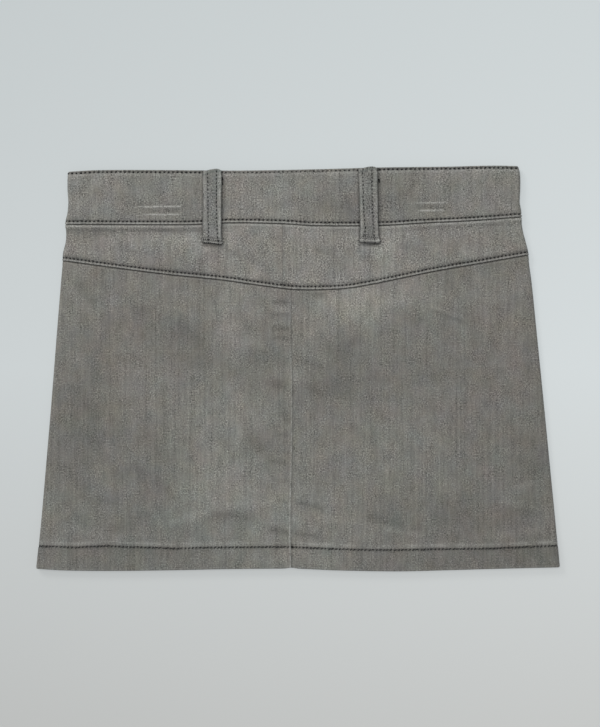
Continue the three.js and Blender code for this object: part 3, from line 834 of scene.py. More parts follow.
def dress_back_panel(x, y, seam_side):
    """A back panel: seam_side is 1 on the left one, whose edge stands up at the centre seam."""
    finish = Finish(x, 0.0, DENIM)
    hem_region(finish, x, y - hem_stitching(x), y - back_hem(x))
    tucked_edge(finish, yoke_seam(x) - y, x, 76, 0.08, 0.7)
    away = np.abs(x - back_seam(y)) - SEWN_GAP / 2
    below_hem = 1 - smooth(y - hem_stitching(x), -5, 0)
    if seam_side > 0:
        shown = 0.2 + 0.8 * (1 - smooth(y, -15, 35))
        rubbed_and_highlit = 0.38 + 0.17 * (1 - smooth(y, -105, -85)) + 0.2 * below_hem
        butted_edge(finish, away, y, 0.15, 0.26 * shown, rubbed_and_highlit * shown, 80)
        # Painted shade beside the raised edge at the centre seam.
        finish.dark += 0.35 * (smooth(y, 5, 40) + 0.4 * below_hem) * hump(away, 0.2, 0.5)
    else:
        butted_edge(finish, away, y, 0.55, -0.10, 0.1, 84)
        # Painted shade in the groove beside the centre seam, and where the hem's stitching crosses it.
        lower = 1 - smooth(y, -5, 20)
        strength = 0.10 + 0.34 * lower + 0.25 * wander(86, 3, y) + 0.25 * below_hem
        finish.dark += strength * hump(away, 0.6, 0.7)
        finish.dark += 0.7 * hump(away, 1.0, 1.6) * hump(y - hem_stitching(x), 0, 1.4)
    washed_and_painted_light(finish, x, y, 88)
    return finish


def fly_bend_y():
    """Where the fly's stitching leaves its straight stretch for a quarter circle."""
    return float(front_waist_seam(FLY_WIDTH)) - FLY_LENGTH + FLY_WIDTH


def fly_line(width):
    """One row of the fly's curved stitching, from the waistband down and round to the centre seam."""
    bend = fly_bend_y()
    top = float(front_waist_seam(width)) - 1
    turn = np.linspace(0, math.pi / 2, 30)
    x = np.concatenate([np.full(40, width), width * np.cos(turn)])
    y = np.concatenate([np.linspace(top, bend + 0.5, 40), bend - width * np.sin(turn)])
    points = np.column_stack([x, y, front_face(x, y) + 0.35])[:-1]
    return points, np.repeat([[0, 0, -1.0]], len(points), 0), YOKE_PITCH


def dress_front_panel(x, y, seam_side):
    """A front panel: seam_side is -1 on the right one, which has the fly's stitching."""
    finish = Finish(x, 0.0, DENIM)
    if seam_side < 0:
        reach = np.hypot(x, np.minimum(y - fly_bend_y(), 0))
        for width in FLY_ROWS:
            # Each row of the fly sinks into a groove with painted shade in it.
            finish.relief -= 0.5 * hump(reach, width, 1.2)
            finish.dark += 0.5 * hump(reach, width, 1.2)
    hem_region(finish, x, y - front_hem(x) - HEM_DEPTH, y - front_hem(x))
    finish.relief = np.minimum(finish.relief, 0)
    finish.relief -= round_off(front_waist_seam(x) - y, 0.8, 0.3)
    away = np.abs(x) - SEAM_GAP / 2
    finish.relief -= round_off(away, 0.8, 0.5)
    finish.worn += 0.5 * hump(away, 0.9, 0.5)
    # Painted shadow in the centre seam's ditch.
    finish.dark += 0.8 * hump(away, 0, 0.3)
    washed_and_painted_light(finish, -x, y, 90)
    return finish


def dress_front_band(x, y, _):
    """A half of the front waistband, plainly finished."""
    seam, edge = y - front_waist_seam(x), front_waist_edge(x) - y
    finish = Finish(x, 0.0, BAND)
    lapped_edge(finish, seam, x, 94, 0.8, 0.2)
    finish.relief -= round_off(edge, 1.1, 0.9) + 0.36 * hump(edge, EDGE_STITCH_IN, 0.5)
    finish.relief -= round_off(np.abs(x) - SEAM_GAP / 2, 1.0, 0.8)
    finish.relief = np.minimum(finish.relief, 0)
    # Painted shade along the top row of stitches.
    finish.dark += 0.7 * hump(edge, EDGE_STITCH_IN, 0.7)
    washed_and_painted_light(finish, -x, y, 98)
    return finish


def graded(length, pitch, fine):
    """Places from 0 to length, `pitch` apart, closer round the fine places: (place, reach, closest step)."""
    places = [0.0]
    while places[-1] < length:
        step = pitch
        for place, reach, closest in fine:
            step = min(step, closest + 0.22 * max(abs(places[-1] - place) - reach, 0))
        places.append(places[-1] + step)
    places = np.array(places) * (length / places[-1])
    for place, _, _ in fine:
        places[np.abs(places - place).argmin()] = place
    return places


def spread(places, knots):
    """Places on a reference length, moved so that each knot's place comes to lie where the knot says."""
    position = knots[0][1] + 0 * places
    for (start, low), (end, high) in zip(knots, knots[1:]):
        position = position + np.clip((places - start) / (end - start), 0, 1) * (high - low)
    return position


def lay_out(piece):
    """x and y of a piece's grid: rows from its lower edge up, columns from left to right."""
    rows, columns = piece["rows"][:, None], piece["columns"][None, :]
    x = np.zeros((rows.size, columns.size))
    y = x
    for _ in range(8):
        y = spread(rows, [(place, edge(x)) for place, edge in piece["row_knots"]])
        x = spread(columns, [(place, edge(y)) for place, edge in piece["column_knots"]])
    return x, y


def fold_columns(up, y, outer, inner, finish, inward):
    """The columns that go round a folded side, from the side seam up to the flat stretch."""
    end = 0 if inward > 0 else -1
    side = (side_left if inward > 0 else side_right)(y[:, end])[:, None]
    middle = (stack_side(y[:, end]) / 2)[:, None]
    angle = FOLD_ANGLES[None, :]
    gap = up * SEAM_GAP / 2 * np.cos(angle)
    rise = up * (outer[:, end, 2][:, None] - middle)
    rise_in = up * (inner[:, end, 2][:, None] - middle)
    relief = finish.relief[:, end][:, None]
    wall_in = finish.wall[:, end][:, None]
    across = np.cos(angle)
    folded = []
    for reach, height in ((FOLD_REACH + relief, rise), (FOLD_REACH - wall_in, rise_in)):
        fold_x = side + inward * (FOLD_REACH - np.maximum(reach, 0.1) * across)
        fold_z = middle + gap + up * height * np.sin(angle)
        fold_y = y[:, end][:, None] + 0 * angle
        folded.append(np.stack([fold_x, fold_y, fold_z], -1))
    return folded


def join_columns(flat, folded, inward):
    """Puts a fold's columns on their side of the flat ones."""
    if inward > 0:
        return np.concatenate([folded, flat], 1)
    return np.concatenate([flat, folded[:, ::-1]], 1)


def repeat_columns(values, inward):
    """A value's columns at a fold repeat the last flat one's."""
    end = values[:, :1] if inward > 0 else values[:, -1:]
    return join_columns(values, np.repeat(end, len(FOLD_ANGLES), 1), inward)


def shape_piece(piece):
    """Works out a piece's outer and inner points, and what its material reads at each."""
    x, y = lay_out(piece)
    up = piece["layer"]
    finish = piece["dress"](x, y)
    face = (back_face if up > 0 else front_face)(x, y) + up * finish.lift
    outer = np.stack([x, y, face + up * finish.relief], -1)
    inner = np.stack([x, y, face - up * finish.wall], -1)
    values = dict(worn=finish.worn, dark=finish.dark, fade=finish.fade, warmth_and_cool_shade=finish.warmth_and_cool_shade)
    for inward, folded in ((1, piece["fold_left"]), (-1, piece["fold_right"])):
        if folded:
            outer_fold, inner_fold = fold_columns(up, y, outer, inner, finish, inward)
            outer = join_columns(outer, outer_fold, inward)
            inner = join_columns(inner, inner_fold, inward)
            values = {name: repeat_columns(value, inward) for name, value in values.items()}
    pull_in(piece, outer, values)
    piece.update(outer=outer, inner=inner, values=values)
    return piece


def stitch_beat(points, pitch):
    """1 where a line of points has a stitch, and near 0 halfway between two."""
    steps = np.linalg.norm(np.diff(points, axis=0), axis=1)
    phase = np.concatenate([[0], np.cumsum(steps)]) / pitch - 0.5
    return hump((phase - np.round(phase)) * pitch, 0, 0.9)


def pull_in(piece, outer, values):
    """Each stitch of a piece's seams pinches its cloth: a small hollow with painted shade in it, that breaks
    the pale bead.
    """
    for place, pitch, toward in piece["seams"]:
        row = int(np.abs(piece["rows"] - place).argmin())
        beat = stitch_beat(outer[row], pitch)[None, :]
        distance = (piece["rows"][:, None] - place) * toward
        if piece["layer"] == BACK:
            outer[..., 2] -= 0.14 * beat * hump(distance, 0.8, 1.5)
        values["dark"] += 0.75 * beat * hump(distance, 0, 0.95) + 0.35 * beat * hump(distance, STITCH_IN, 0.5)
        values["worn"] *= 1 - 0.55 * beat * hump(distance, 1.4, 1.2)


def surface_uv(points, offset):
    """A flat map of a grid: the distance along each row from the middle, and y, in metres."""
    steps = np.linalg.norm(np.diff(points, axis=1), axis=2)
    along = np.concatenate([np.zeros((len(points), 1)), np.cumsum(steps, 1)], 1)
    middle = points.shape[1] // 2
    along = along - along[:, middle:middle + 1] + points[:, middle:middle + 1, 0]
    return np.stack([along + offset, points[..., 1]], -1) * MM


def make_wall(name, outer, inner, values, uv, up):
    """A closed wall between two grids of points, as a mesh in metres."""
    rows, columns = outer.shape[:2]
    index = np.arange(rows * columns).reshape(rows, columns)
    deep = index + rows * columns

    def quads(a, b, c, d):
        return np.stack([a, b, c, d], -1).reshape(-1, 4)

    faces = np.concatenate([
        quads(index[:-1, :-1], index[:-1, 1:], index[1:, 1:], index[1:, :-1]),
        quads(deep[:-1, :-1], deep[1:, :-1], deep[1:, 1:], deep[:-1, 1:]),
        quads(index[:-1, 0], index[1:, 0], deep[1:, 0], deep[:-1, 0]),
        quads(index[1:, -1], index[:-1, -1], deep[:-1, -1], deep[1:, -1]),
        quads(index[0, 1:], index[0, :-1], deep[0, :-1], deep[0, 1:]),
        quads(index[-1, :-1], index[-1, 1:], deep[-1, 1:], deep[-1, :-1]),
    ])
    if up < 0:
        faces = faces[:, ::-1]
    points = np.concatenate([outer.reshape(-1, 3), inner.reshape(-1, 3)]) * MM
    mesh = bpy.data.meshes.new(name)
    mesh.from_pydata(points, [], faces.tolist())
    for key, value in values.items():
        attribute = mesh.attributes.new(key, "FLOAT", "POINT")
        inside = np.zeros(value.size)
        attribute.data.foreach_set("value", np.concatenate([value.ravel(), inside]).astype(np.float32))
    flat_uv = np.concatenate([uv.reshape(-1, 2)] * 2)
    corners = np.zeros(len(mesh.loops), np.int32)
    mesh.loops.foreach_get("vertex_index", corners)
    mesh.uv_layers.new(name="cloth").data.foreach_set("uv", flat_uv[corners].ravel().astype(np.float32))
    return add_object(name, mesh)


def add_object(name, mesh):
    mesh.update()
    piece = bpy.data.objects.new(name, mesh)
    bpy.context.scene.collection.objects.link(piece)
    smooth_by_angle(piece, 48)
    return piece


def select_only(piece):
    bpy.ops.object.select_all(action="DESELECT")
    piece.select_set(True)
    bpy.context.view_layer.objects.active = piece


def smooth_by_angle(piece, degrees):
    select_only(piece)
    bpy.ops.object.shade_smooth_by_angle(angle=math.radians(degrees))


def row_normals(points, up):
    """The outward directions of a grid of points."""
    along_row = np.gradient(points, axis=1)
    along_column = np.gradient(points, axis=0)
    normal = np.cross(along_row, along_column) * up
    return normal / np.maximum(np.linalg.norm(normal, axis=2, keepdims=True), 1e-9)


def row_at(piece, place):
    """The points and normals of a piece's grid row at a place on its reference length."""
    row = int(np.abs(piece["rows"] - place).argmin())
    normals = row_normals(piece["outer"], piece["layer"])
    return piece["outer"][row], normals[row]


def even_steps(points, normals, pitch, start=0.5):
    """Places a pitch apart along a line of points: where, which way on, and which way out."""
    lengths = np.linalg.norm(np.diff(points, axis=0), axis=1)
    travelled = np.concatenate([[0], np.cumsum(lengths)])
    at = np.arange(start * pitch, travelled[-1] - 0.3 * pitch, pitch)

    def read(values, where):
        return np.stack([np.interp(where, travelled, values[:, k]) for k in range(3)], -1)

    ahead = read(points, at + 0.4 * pitch) - read(points, at - 0.4 * pitch)
    ahead /= np.linalg.norm(ahead, axis=1, keepdims=True)
    return read(points, at), ahead, read(normals, at)


def model_stitch():
    """One stitch, 1 long and 1 wide: a low capsule whose ends dip into the cloth."""
    bpy.ops.object.select_all(action="DESELECT")
    bpy.ops.mesh.primitive_uv_sphere_add(segments=6, ring_count=6, radius=0.5, rotation=(0, math.pi / 2, 0))
    ball = bpy.context.object
    bpy.ops.object.transform_apply(location=True, rotation=True, scale=True)
    points = np.array([v.co for v in ball.data.vertices])
    faces = [list(f.vertices) for f in ball.data.polygons]
    bpy.data.objects.remove(ball)
    points[:, 0] = np.sign(points[:, 0]) * np.abs(2 * points[:, 0]) ** 0.7 / 2
    points[:, 2] -= 1.1 * points[:, 0] ** 2
    return points, faces


STITCH_POINTS, STITCH_FACES = model_stitch()


def sew(name, lines, thick=1.0, slant=0.0, share=0.56, proud=0.25, unevenness=5.0):
    """A mesh of all the stitches along some lines of (points, normals, pitch), none of it under the floor.

    `share` is a stitch's length as a share of the pitch, `thick` and `proud` are in thread radii, and
    `slant` and `unevenness` are in degrees.
    """
    meshes = []
    for points, normals, pitch in lines:
        at, ahead, out = even_steps(points, normals, pitch)
        count = len(at)
        side = np.cross(out, ahead)
        side /= np.linalg.norm(side, axis=1, keepdims=True)
        turn = np.radians(slant + chance.normal(0, unevenness, count))[:, None]
        ahead, side = ahead * np.cos(turn) + side * np.sin(turn), side * np.cos(turn) - ahead * np.sin(turn)
        at = at + side * chance.normal(0, 0.02 * unevenness, count)[:, None]
        radius = THREAD * thick * chance.uniform(0.84, 1.14, count)[:, None, None]
        length = share * pitch * chance.uniform(0.82, 1.14, count)[:, None, None]
        rise = proud + chance.normal(0, 0.12, count)[:, None, None]
        local = STITCH_POINTS[None]
        body = (
            at[:, None] + out[:, None] * rise * radius
            + ahead[:, None] * local[..., :1] * length
            + side[:, None] * local[..., 1:2] * 2 * radius
            + out[:, None] * local[..., 2:] * 2 * radius * 0.85
        )
        meshes.append(body.reshape(-1, 3))
    points = np.concatenate(meshes) * MM
    points[:, 2] = np.maximum(points[:, 2], 0)
    copies = len(points) // len(STITCH_POINTS)
    faces = [[i + k * len(STITCH_POINTS) for i in face] for k in range(copies) for face in STITCH_FACES]
    mesh = bpy.data.meshes.new(name)
    mesh.from_pydata(points, [], faces)
    mesh.materials.append(thread_material)
    piece = add_object(name, mesh)
    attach(piece, BODY)
    return piece


def feed(tree, node, feeds):
    """Gives a node's inputs their values, or the sockets that lead to them."""
    for name, value in feeds.items():
        if isinstance(value, bpy.types.NodeSocket):
            tree.links.new(value, node.inputs[name])
        else:
            node.inputs[name].default_value = value
    return node


def add_node(tree, kind, feeds=None, **settings):
    node = tree.nodes.new("ShaderNode" + kind)
    for name, value in settings.items():
        setattr(node, name, value)
    return feed(tree, node, feeds or {})


def calc(tree, operation, first, second=0.0, third=0.0):
    """A math node's result."""
    feeds = {0: first, 1: second, 2: third}
    return add_node(tree, "Math", feeds, operation=operation).outputs[0]


def noise_value(tree, vector, frequency, detail=2.0, roughness=0.5):
    """Noise from 0 to 1 that changes `frequency` times a metre along each axis."""
    scaled = add_node(tree, "VectorMath", {0: vector, 1: frequency}, operation="MULTIPLY").outputs[0]
    feeds = {"Vector": scaled, "Scale": 1.0, "Detail": detail, "Roughness": roughness}
    return add_node(tree, "TexNoise", feeds).outputs["Fac"]


def new_group(name, inputs, outputs):
    """A shader node group with named inputs and outputs: (name, kind, default)."""
    group = bpy.data.node_groups.new(name, "ShaderNodeTree")
    for title, kind, default in inputs:
        socket = group.interface.new_socket(title, in_out="INPUT", socket_type="NodeSocket" + kind)
        if default is not None:
            socket.default_value = default
    for title, kind in outputs:
        group.interface.new_socket(title, in_out="OUTPUT", socket_type="NodeSocket" + kind)
    return group, group.nodes.new("NodeGroupInput"), group.nodes.new("NodeGroupOutput")


def use_group(tree, group, feeds):
    node = tree.nodes.new("ShaderNodeGroup")
    node.node_tree = group
    return feed(tree, node, feeds)


def yarn_group():
    """The uneven yarns: the signed shade of crisp heather, upright slubs and soft blotches, and the tint."""
    inputs = [
        ("Vector", "Vector", None),
        ("Heather", "Float", 1.0),
        ("Slubs", "Float", 1.0),
        ("Blotches", "Float", 1.0),
        ("Tint strength", "Float", 0.15),
        ("Warmth and cool shade", "Float", 0.0),
    ]
    group, given, result = new_group("denim_yarns", inputs, [("Shade", "Float"), ("Tint", "Color")])
    vector = given.outputs["Vector"]
    heather = noise_value(group, vector, (1000, 860, 1), 1.0, 0.7)
    slubs = noise_value(group, vector, (850, 95, 1), 2.0, 0.6)
    blotches = noise_value(group, vector, (110, 85, 1), 3.0, 0.55)
    streaks = noise_value(group, vector, (520, 9, 1), 1.0, 0.5)
    patches = noise_value(group, vector, (95, 70, 1), 2.0, 0.6)
    crisp = add_node(group, "MapRange", {0: patches, 1: 0.35, 2: 0.65, 3: 0.45, 4: 1.45}).outputs[0]
    brightest = calc(group, "MAXIMUM", calc(group, "SUBTRACT", heather, 0.6), 0.0)
    specks = calc(group, "MULTIPLY", brightest, 1.6)
    grain = calc(group, "MULTIPLY_ADD", calc(group, "SUBTRACT", heather, 0.5), 1.55, specks)
    shade = calc(group, "MULTIPLY", calc(group, "MULTIPLY", grain, crisp), given.outputs["Heather"])
    layers = (slubs, "Slubs", 0.6), (streaks, "Slubs", 0.5), (blotches, "Blotches", 0.57)
    for value, weight, share in layers:
        signed = calc(group, "MULTIPLY", calc(group, "SUBTRACT", value, 0.5), share)
        shade = calc(group, "MULTIPLY_ADD", signed, given.outputs[weight], shade)
    group.links.new(shade, result.inputs["Shade"])
    scaled = add_node(group, "VectorMath", {0: vector, 1: (60, 48, 1)}, operation="MULTIPLY").outputs[0]
    hues = add_node(group, "TexNoise", {"Vector": scaled, "Scale": 1.0, "Detail": 3.0, "Roughness": 0.6})
    hues = add_node(group, "SeparateColor", {0: hues.outputs["Color"]})
    strength, given_warmth_and_shade = given.outputs["Tint strength"], given.outputs["Warmth and cool shade"]
    warmth = calc(group, "MULTIPLY", calc(group, "SUBTRACT", hues.outputs[0], 0.5), strength)
    green = calc(group, "MULTIPLY", calc(group, "SUBTRACT", hues.outputs[1], 0.5), strength)
    # The given warmth also holds the cooler painted shade of the loops' top folds.
    red = calc(group, "ADD", warmth, given_warmth_and_shade)
    green = calc(group, "MULTIPLY_ADD", given_warmth_and_shade, -0.3, calc(group, "MULTIPLY", green, 0.8))
    blue = calc(group, "MULTIPLY_ADD", given_warmth_and_shade, -0.4, calc(group, "MULTIPLY", warmth, -1.0))
    parts = {index: calc(group, "ADD", 1.0, part) for index, part in enumerate((red, green, blue))}
    tint = add_node(group, "CombineColor", parts)
    group.links.new(tint.outputs[0], result.inputs["Tint"])
    return group


def twill_group():
    """The relief of a three-over-one twill: steep diagonal ribs, cut into the yarns' separate floats."""
    inputs = [("Vector", "Vector", None), ("Yarn pitch", "Float", 0.00042)]
    group, given, result = new_group("twill_relief", inputs, [("Height", "Float")])
    parts = add_node(group, "SeparateXYZ", {0: given.outputs["Vector"]})
    warp = calc(group, "DIVIDE", parts.outputs[0], given.outputs["Yarn pitch"])
    weft = calc(group, "DIVIDE", parts.outputs[1], given.outputs["Yarn pitch"])
    warp_turn = calc(group, "MULTIPLY", warp, 2 * math.pi)
    diagonal = calc(group, "MULTIPLY", calc(group, "SUBTRACT", weft, warp), 2 * math.pi / 4)
    ribs = calc(group, "MULTIPLY_ADD", calc(group, "COSINE", diagonal), 0.5, 0.5)
    floats = calc(group, "MULTIPLY_ADD", calc(group, "COSINE", warp_turn), 0.5, 0.5)
    height = calc(group, "MULTIPLY_ADD", floats, 0.45, calc(group, "MULTIPLY", ribs, 0.7))
    group.links.new(height, result.inputs["Height"])
    return group


def wear_and_painted_light_group():
    """A cloth colour with its yarns, its fades and painted light, its rubbed edges and painted highlights,
    and the painted shade at its seams, grooves and loops.
    """
    inputs = [
        ("Colour", "Color", (0.2, 0.2, 0.19, 1)),
        ("Pale colour", "Color", (0.5, 0.5, 0.48, 1)),
        ("Shade", "Float", 0.0),
        ("Tint", "Color", (1, 1, 1, 1)),
        ("Fade", "Float", 0.0),
        ("Worn", "Float", 0.0),
        ("Dark", "Float", 0.0),
    ]
    group, given, result = new_group("cloth_wear_and_painted_light", inputs, [("Colour", "Color")])
    feeds = {0: given.outputs["Colour"], 1: given.outputs["Tint"]}
    toned = add_node(group, "VectorMath", feeds, operation="MULTIPLY").outputs[0]
    crisper = calc(group, "MULTIPLY_ADD", given.outputs["Fade"], 1.3, 1.0)
    brightness = calc(group, "MULTIPLY_ADD", given.outputs["Shade"], crisper, given.outputs["Fade"])
    brightness = calc(group, "ADD", brightness, 1.0)
    brightness = calc(group, "MAXIMUM", brightness, 0.35)
    feeds = {0: toned, "Scale": brightness}
    shaded = add_node(group, "VectorMath", feeds, operation="SCALE").outputs[0]
    worn = calc(group, "MULTIPLY", given.outputs["Worn"], calc(group, "ADD", given.outputs["Shade"], 0.9))
    worn = add_node(group, "Clamp", {0: worn}).outputs[0]
    feeds = {0: worn, 6: shaded, 7: given.outputs["Pale colour"]}
    rubbed_and_highlit = add_node(group, "Mix", feeds, data_type="RGBA").outputs[2]
    # Painted shade darkens the colour.
    dark = calc(group, "SUBTRACT", 1.0, calc(group, "MULTIPLY", given.outputs["Dark"], 0.62))
    feeds = {0: rubbed_and_highlit, "Scale": dark}
    final = add_node(group, "VectorMath", feeds, operation="SCALE").outputs[0]
    group.links.new(final, result.inputs["Colour"])
    return group


YARNS = yarn_group()
TWILL = twill_group()
WEAR_AND_PAINTED_LIGHT = wear_and_painted_light_group()


def new_material(name):
    material = bpy.data.materials.new(name)
    material.use_nodes = True
    tree = material.node_tree
    return material, tree, tree.nodes["Principled BSDF"]


def denim_material(name, colour, heather):
    """Washed grey denim, woven along the piece's own map."""
    material, tree, shader = new_material(name)
    uv = add_node(tree, "UVMap", uv_map="cloth").outputs[0]
    keys = ("worn", "dark", "fade", "warmth_and_cool_shade")
    marks = {key: add_node(tree, "Attribute", attribute_name=key).outputs["Fac"] for key in keys}
    feeds = {"Vector": uv, "Heather": heather, "Tint strength": 0.18, "Warmth and cool shade": marks["warmth_and_cool_shade"]}
    yarns = use_group(tree, YARNS, feeds)
    twill = use_group(tree, TWILL, {"Vector": uv})
    bead_wear_and_highlight = use_group(tree, WEAR_AND_PAINTED_LIGHT, {
        "Colour": colour,
        "Pale colour": PALE_COLOUR,
        "Shade": yarns.outputs["Shade"],
        "Tint": yarns.outputs["Tint"],
        "Fade": marks["fade"],
        "Worn": marks["worn"],
        "Dark": marks["dark"],
    })
    tree.links.new(bead_wear_and_highlight.outputs[0], shader.inputs["Base Color"])
    rough = calc(tree, "MULTIPLY_ADD", yarns.outputs["Shade"], -0.1, 0.9)
    tree.links.new(rough, shader.inputs["Roughness"])
    shader.inputs["Specular IOR Level"].default_value = 0.25
    shader.inputs["Sheen Weight"].default_value = 0.12
    shader.inputs["Sheen Roughness"].default_value = 0.6
    weave = add_node(tree, "Bump", {"Height": twill.outputs[0], "Distance": 0.00012, "Strength": 0.5})
    slub = add_node(tree, "Bump", {
        "Height": yarns.outputs["Shade"],
        "Distance": 0.00022,
        "Strength": 0.6,
        "Normal": weave.outputs[0],
    })
    tree.links.new(slub.outputs[0], shader.inputs["Normal"])
    return material


def make_thread_material():
    """Charcoal sewing thread, twisted from plies."""
    material, tree, shader = new_material("charcoal_thread")
    place = add_node(tree, "TexCoord").outputs["Object"]
    fleck = noise_value(tree, place, (1800, 1800, 1800), 2.0, 0.6)
    ramp = add_node(tree, "MapRange", {0: fleck, 1: 0.25, 2: 0.75, 3: 0.0, 4: 1.0}).outputs[0]
    feeds = {0: ramp, 6: THREAD_COLOURS[0], 7: THREAD_COLOURS[1]}
    colour = add_node(tree, "Mix", feeds, data_type="RGBA").outputs[2]
    tree.links.new(colour, shader.inputs["Base Color"])
    rough = calc(tree, "MULTIPLY_ADD", fleck, 0.2, 0.6)
    tree.links.new(rough, shader.inputs["Roughness"])
    shader.inputs["Specular IOR Level"].default_value = 0.25
    feeds = {"Vector": place, "Scale": 900.0, "Distortion": 1.5}
    ply = add_node(tree, "TexWave", feeds, bands_direction="DIAGONAL")
    bump = add_node(tree, "Bump", {"Height": ply.outputs["Fac"], "Distance": 0.0001, "Strength": 0.6})
    tree.links.new(bump.outputs[0], shader.inputs["Normal"])
    return material


def button_metal_material():
    """Dull old nickel, lighter and darker in soft clouds."""
    material, tree, shader = new_material("old_nickel")
    place = add_node(tree, "TexCoord").outputs["Object"]
    cloud = noise_value(tree, place, (420, 420, 420), 4.0, 0.6)
    feeds = {0: cloud, 6: NICKEL_COLOURS[0], 7: NICKEL_COLOURS[1]}
    colour = add_node(tree, "Mix", feeds, data_type="RGBA").outputs[2]
    tree.links.new(colour, shader.inputs["Base Color"])
    tree.links.new(calc(tree, "MULTIPLY_ADD", cloud, -0.3, 0.55), shader.inputs["Roughness"])
    shader.inputs["Metallic"].default_value = 1.0
    scratch = noise_value(tree, place, (2600, 300, 300), 2.0, 0.6)
    bump = add_node(tree, "Bump", {"Height": scratch, "Distance": 0.00005, "Strength": 0.4})
    tree.links.new(bump.outputs[0], shader.inputs["Normal"])
    return material


denim = denim_material("washed_grey_denim", DENIM_COLOUR, DENIM_HEATHER)
band_denim = denim_material("waistband_denim", BAND_COLOUR, BAND_HEATHER)
loop_denim = denim_material("belt_loop_denim", LOOP_COLOUR, LOOP_HEATHER)
thread_material = make_thread_material()
nickel = button_metal_material()


def inside_left(y):
    return side_left(y) + FOLD_REACH


def inside_right(y):
    return side_right(y) - FOLD_REACH


def kept_from(edge, distance):
    """A curve that runs a distance on from another."""
    return lambda place: edge(place) + distance


def seam_columns(width, pitch, left, right, seam_side):
    """Columns between two edges, close together at a seam: seam_side is 1 when it lies at the right."""
    if seam_side > 0:
        fine = [(width, 1.2, 0.24)]
        knots = [(0, left), (width - COLUMN_ZONE, kept_from(right, -COLUMN_ZONE)), (width, right)]
    elif seam_side < 0:
        fine = [(0, 1.2, 0.24)]
        knots = [(0, left), (COLUMN_ZONE, kept_from(left, COLUMN_ZONE)), (width, right)]
    else:
        fine = []
        knots = [(0, left), (width, right)]
    return dict(columns=graded(width, pitch, fine), column_knots=knots)


def lapped_rows(grid, seam, high, extra=()):
    """Rows from a piece's lapped edge up, which keep their distance to it and to its upper edge."""
    length = grid["length"]
    low = kept_from(seam, SEAM_GAP / 2)
    fine = [(0.0, 0.8, 0.2), (STITCH_IN, 0.8, 0.3), (length, 1.0, 0.25), *extra]
    knots = [
        (0, low),
        (SEAM_ZONE, kept_from(low, SEAM_ZONE)),
        (length - SEAM_ZONE, kept_from(high, -SEAM_ZONE)),
        (length, high),
    ]
    return dict(rows=graded(length, grid["rows"], fine), row_knots=knots)


def hem_rows(grid, low, stitching, high):
    """Rows of a panel: the hem's stitching lies on a row of its own."""
    length = grid["length"]
    top = kept_from(high, -SEAM_GAP / 2)
    fine = [(0.0, 0.8, 0.25), (HEM_DEPTH, 2.0, 0.35), (length, 1.2, 0.25)]
    knots = [
        (0, low),
        (HEM_DEPTH, stitching),
        (HEM_DEPTH + SEAM_ZONE, kept_from(stitching, SEAM_ZONE)),
        (length - SEAM_ZONE, kept_from(top, -SEAM_ZONE)),
        (length, top),
    ]
    return dict(rows=graded(length, grid["rows"], fine), row_knots=knots)


def seam_edge(seam, seam_side):
    """A seam's edge on one of its pieces: 1 for the piece on its left. Sewn cloth all but meets there."""
    return lambda y: seam(y) - seam_side * SEWN_GAP / 2


def halves(name, layer, seam, rows, dress, seams):
    """The two pieces on the sides of a middle seam."""
    pitch = GRIDS[name]["columns"]
    for word, seam_side, width in zip(("left", "right"), (1, -1), GRIDS[name]["widths"]):
        left = inside_left if seam_side > 0 else seam_edge(seam, -1)
        right = seam_edge(seam, 1) if seam_side > 0 else inside_right
        yield dict(
            name=f"{name}_{word}",
            layer=layer,
            fold_left=seam_side > 0,
            fold_right=seam_side < 0,
            dress=lambda x, y, side=seam_side: dress(x, y, side),
            seams=seams,
            **rows,
            **seam_columns(width, pitch, left, right, seam_side),
        )


def band_seams(grid):
    """A waistband's two rows of stitches."""
    return [(STITCH_IN, WAIST_PITCH, -1), (grid["length"] - EDGE_STITCH_IN, TOP_PITCH, 1)]


def straight(x):
    """An upright line as a curve."""
    return lambda y: x + 0 * y


def back_pieces():
    """The cloth pieces of the back, each with its grid."""
    rows = hem_rows(GRIDS["back_panel"], back_hem, hem_stitching, yoke_seam)
    yield from halves("back_panel", BACK, back_seam, rows, dress_back_panel, HEM_SEAMS)
    rows = lapped_rows(GRIDS["back_yoke"], yoke_seam, kept_from(waist_seam, -SEAM_GAP / 2))
    yield from halves("back_yoke", BACK, straight(BACK_YOKE_SEAM_X), rows, dress_yoke, YOKE_SEAMS)
    grid = GRIDS["waistband_back"]
    yield dict(
        name="waistband_back",
        layer=BACK,
        fold_left=True,
        fold_right=True,
        dress=dress_waistband,
        seams=band_seams(grid),
        **lapped_rows(grid, waist_seam, waist_edge, TAPE_ROWS),
        **seam_columns(grid["widths"][0], grid["columns"], inside_left, inside_right, 0),
    )


def front_pieces():
    """The cloth pieces of the front, each with its grid."""
    middle = straight(0)
    stitching = kept_from(front_hem, HEM_DEPTH)
    rows = hem_rows(GRIDS["front_panel"], front_hem, stitching, front_waist_seam)
    yield from halves("front_panel", FRONT, middle, rows, dress_front_panel, HEM_SEAMS)
    grid = GRIDS["waistband_front"]
    rows = lapped_rows(grid, front_waist_seam, front_waist_edge)
    yield from halves("waistband_front", FRONT, middle, rows, dress_front_band, band_seams(grid))


def make_cloth(piece):
    """Models a cloth piece and puts it in place of its solid."""
    name = piece["name"]
    shape_piece(piece)
    offset = PATTERN_OFFSETS[name.rsplit("_", 1)[1]] + PATTERN_SHIFT * len(name)
    uv = surface_uv(piece["outer"], offset)
    cloth = make_wall(f"{name}_cloth", piece["outer"], piece["inner"], piece["values"], uv, piece["layer"])
    cloth.data.materials.append(denim if "panel" in name else band_denim)
    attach(cloth, BODY)
    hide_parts(name)
    piece["cloth"] = cloth
    return piece


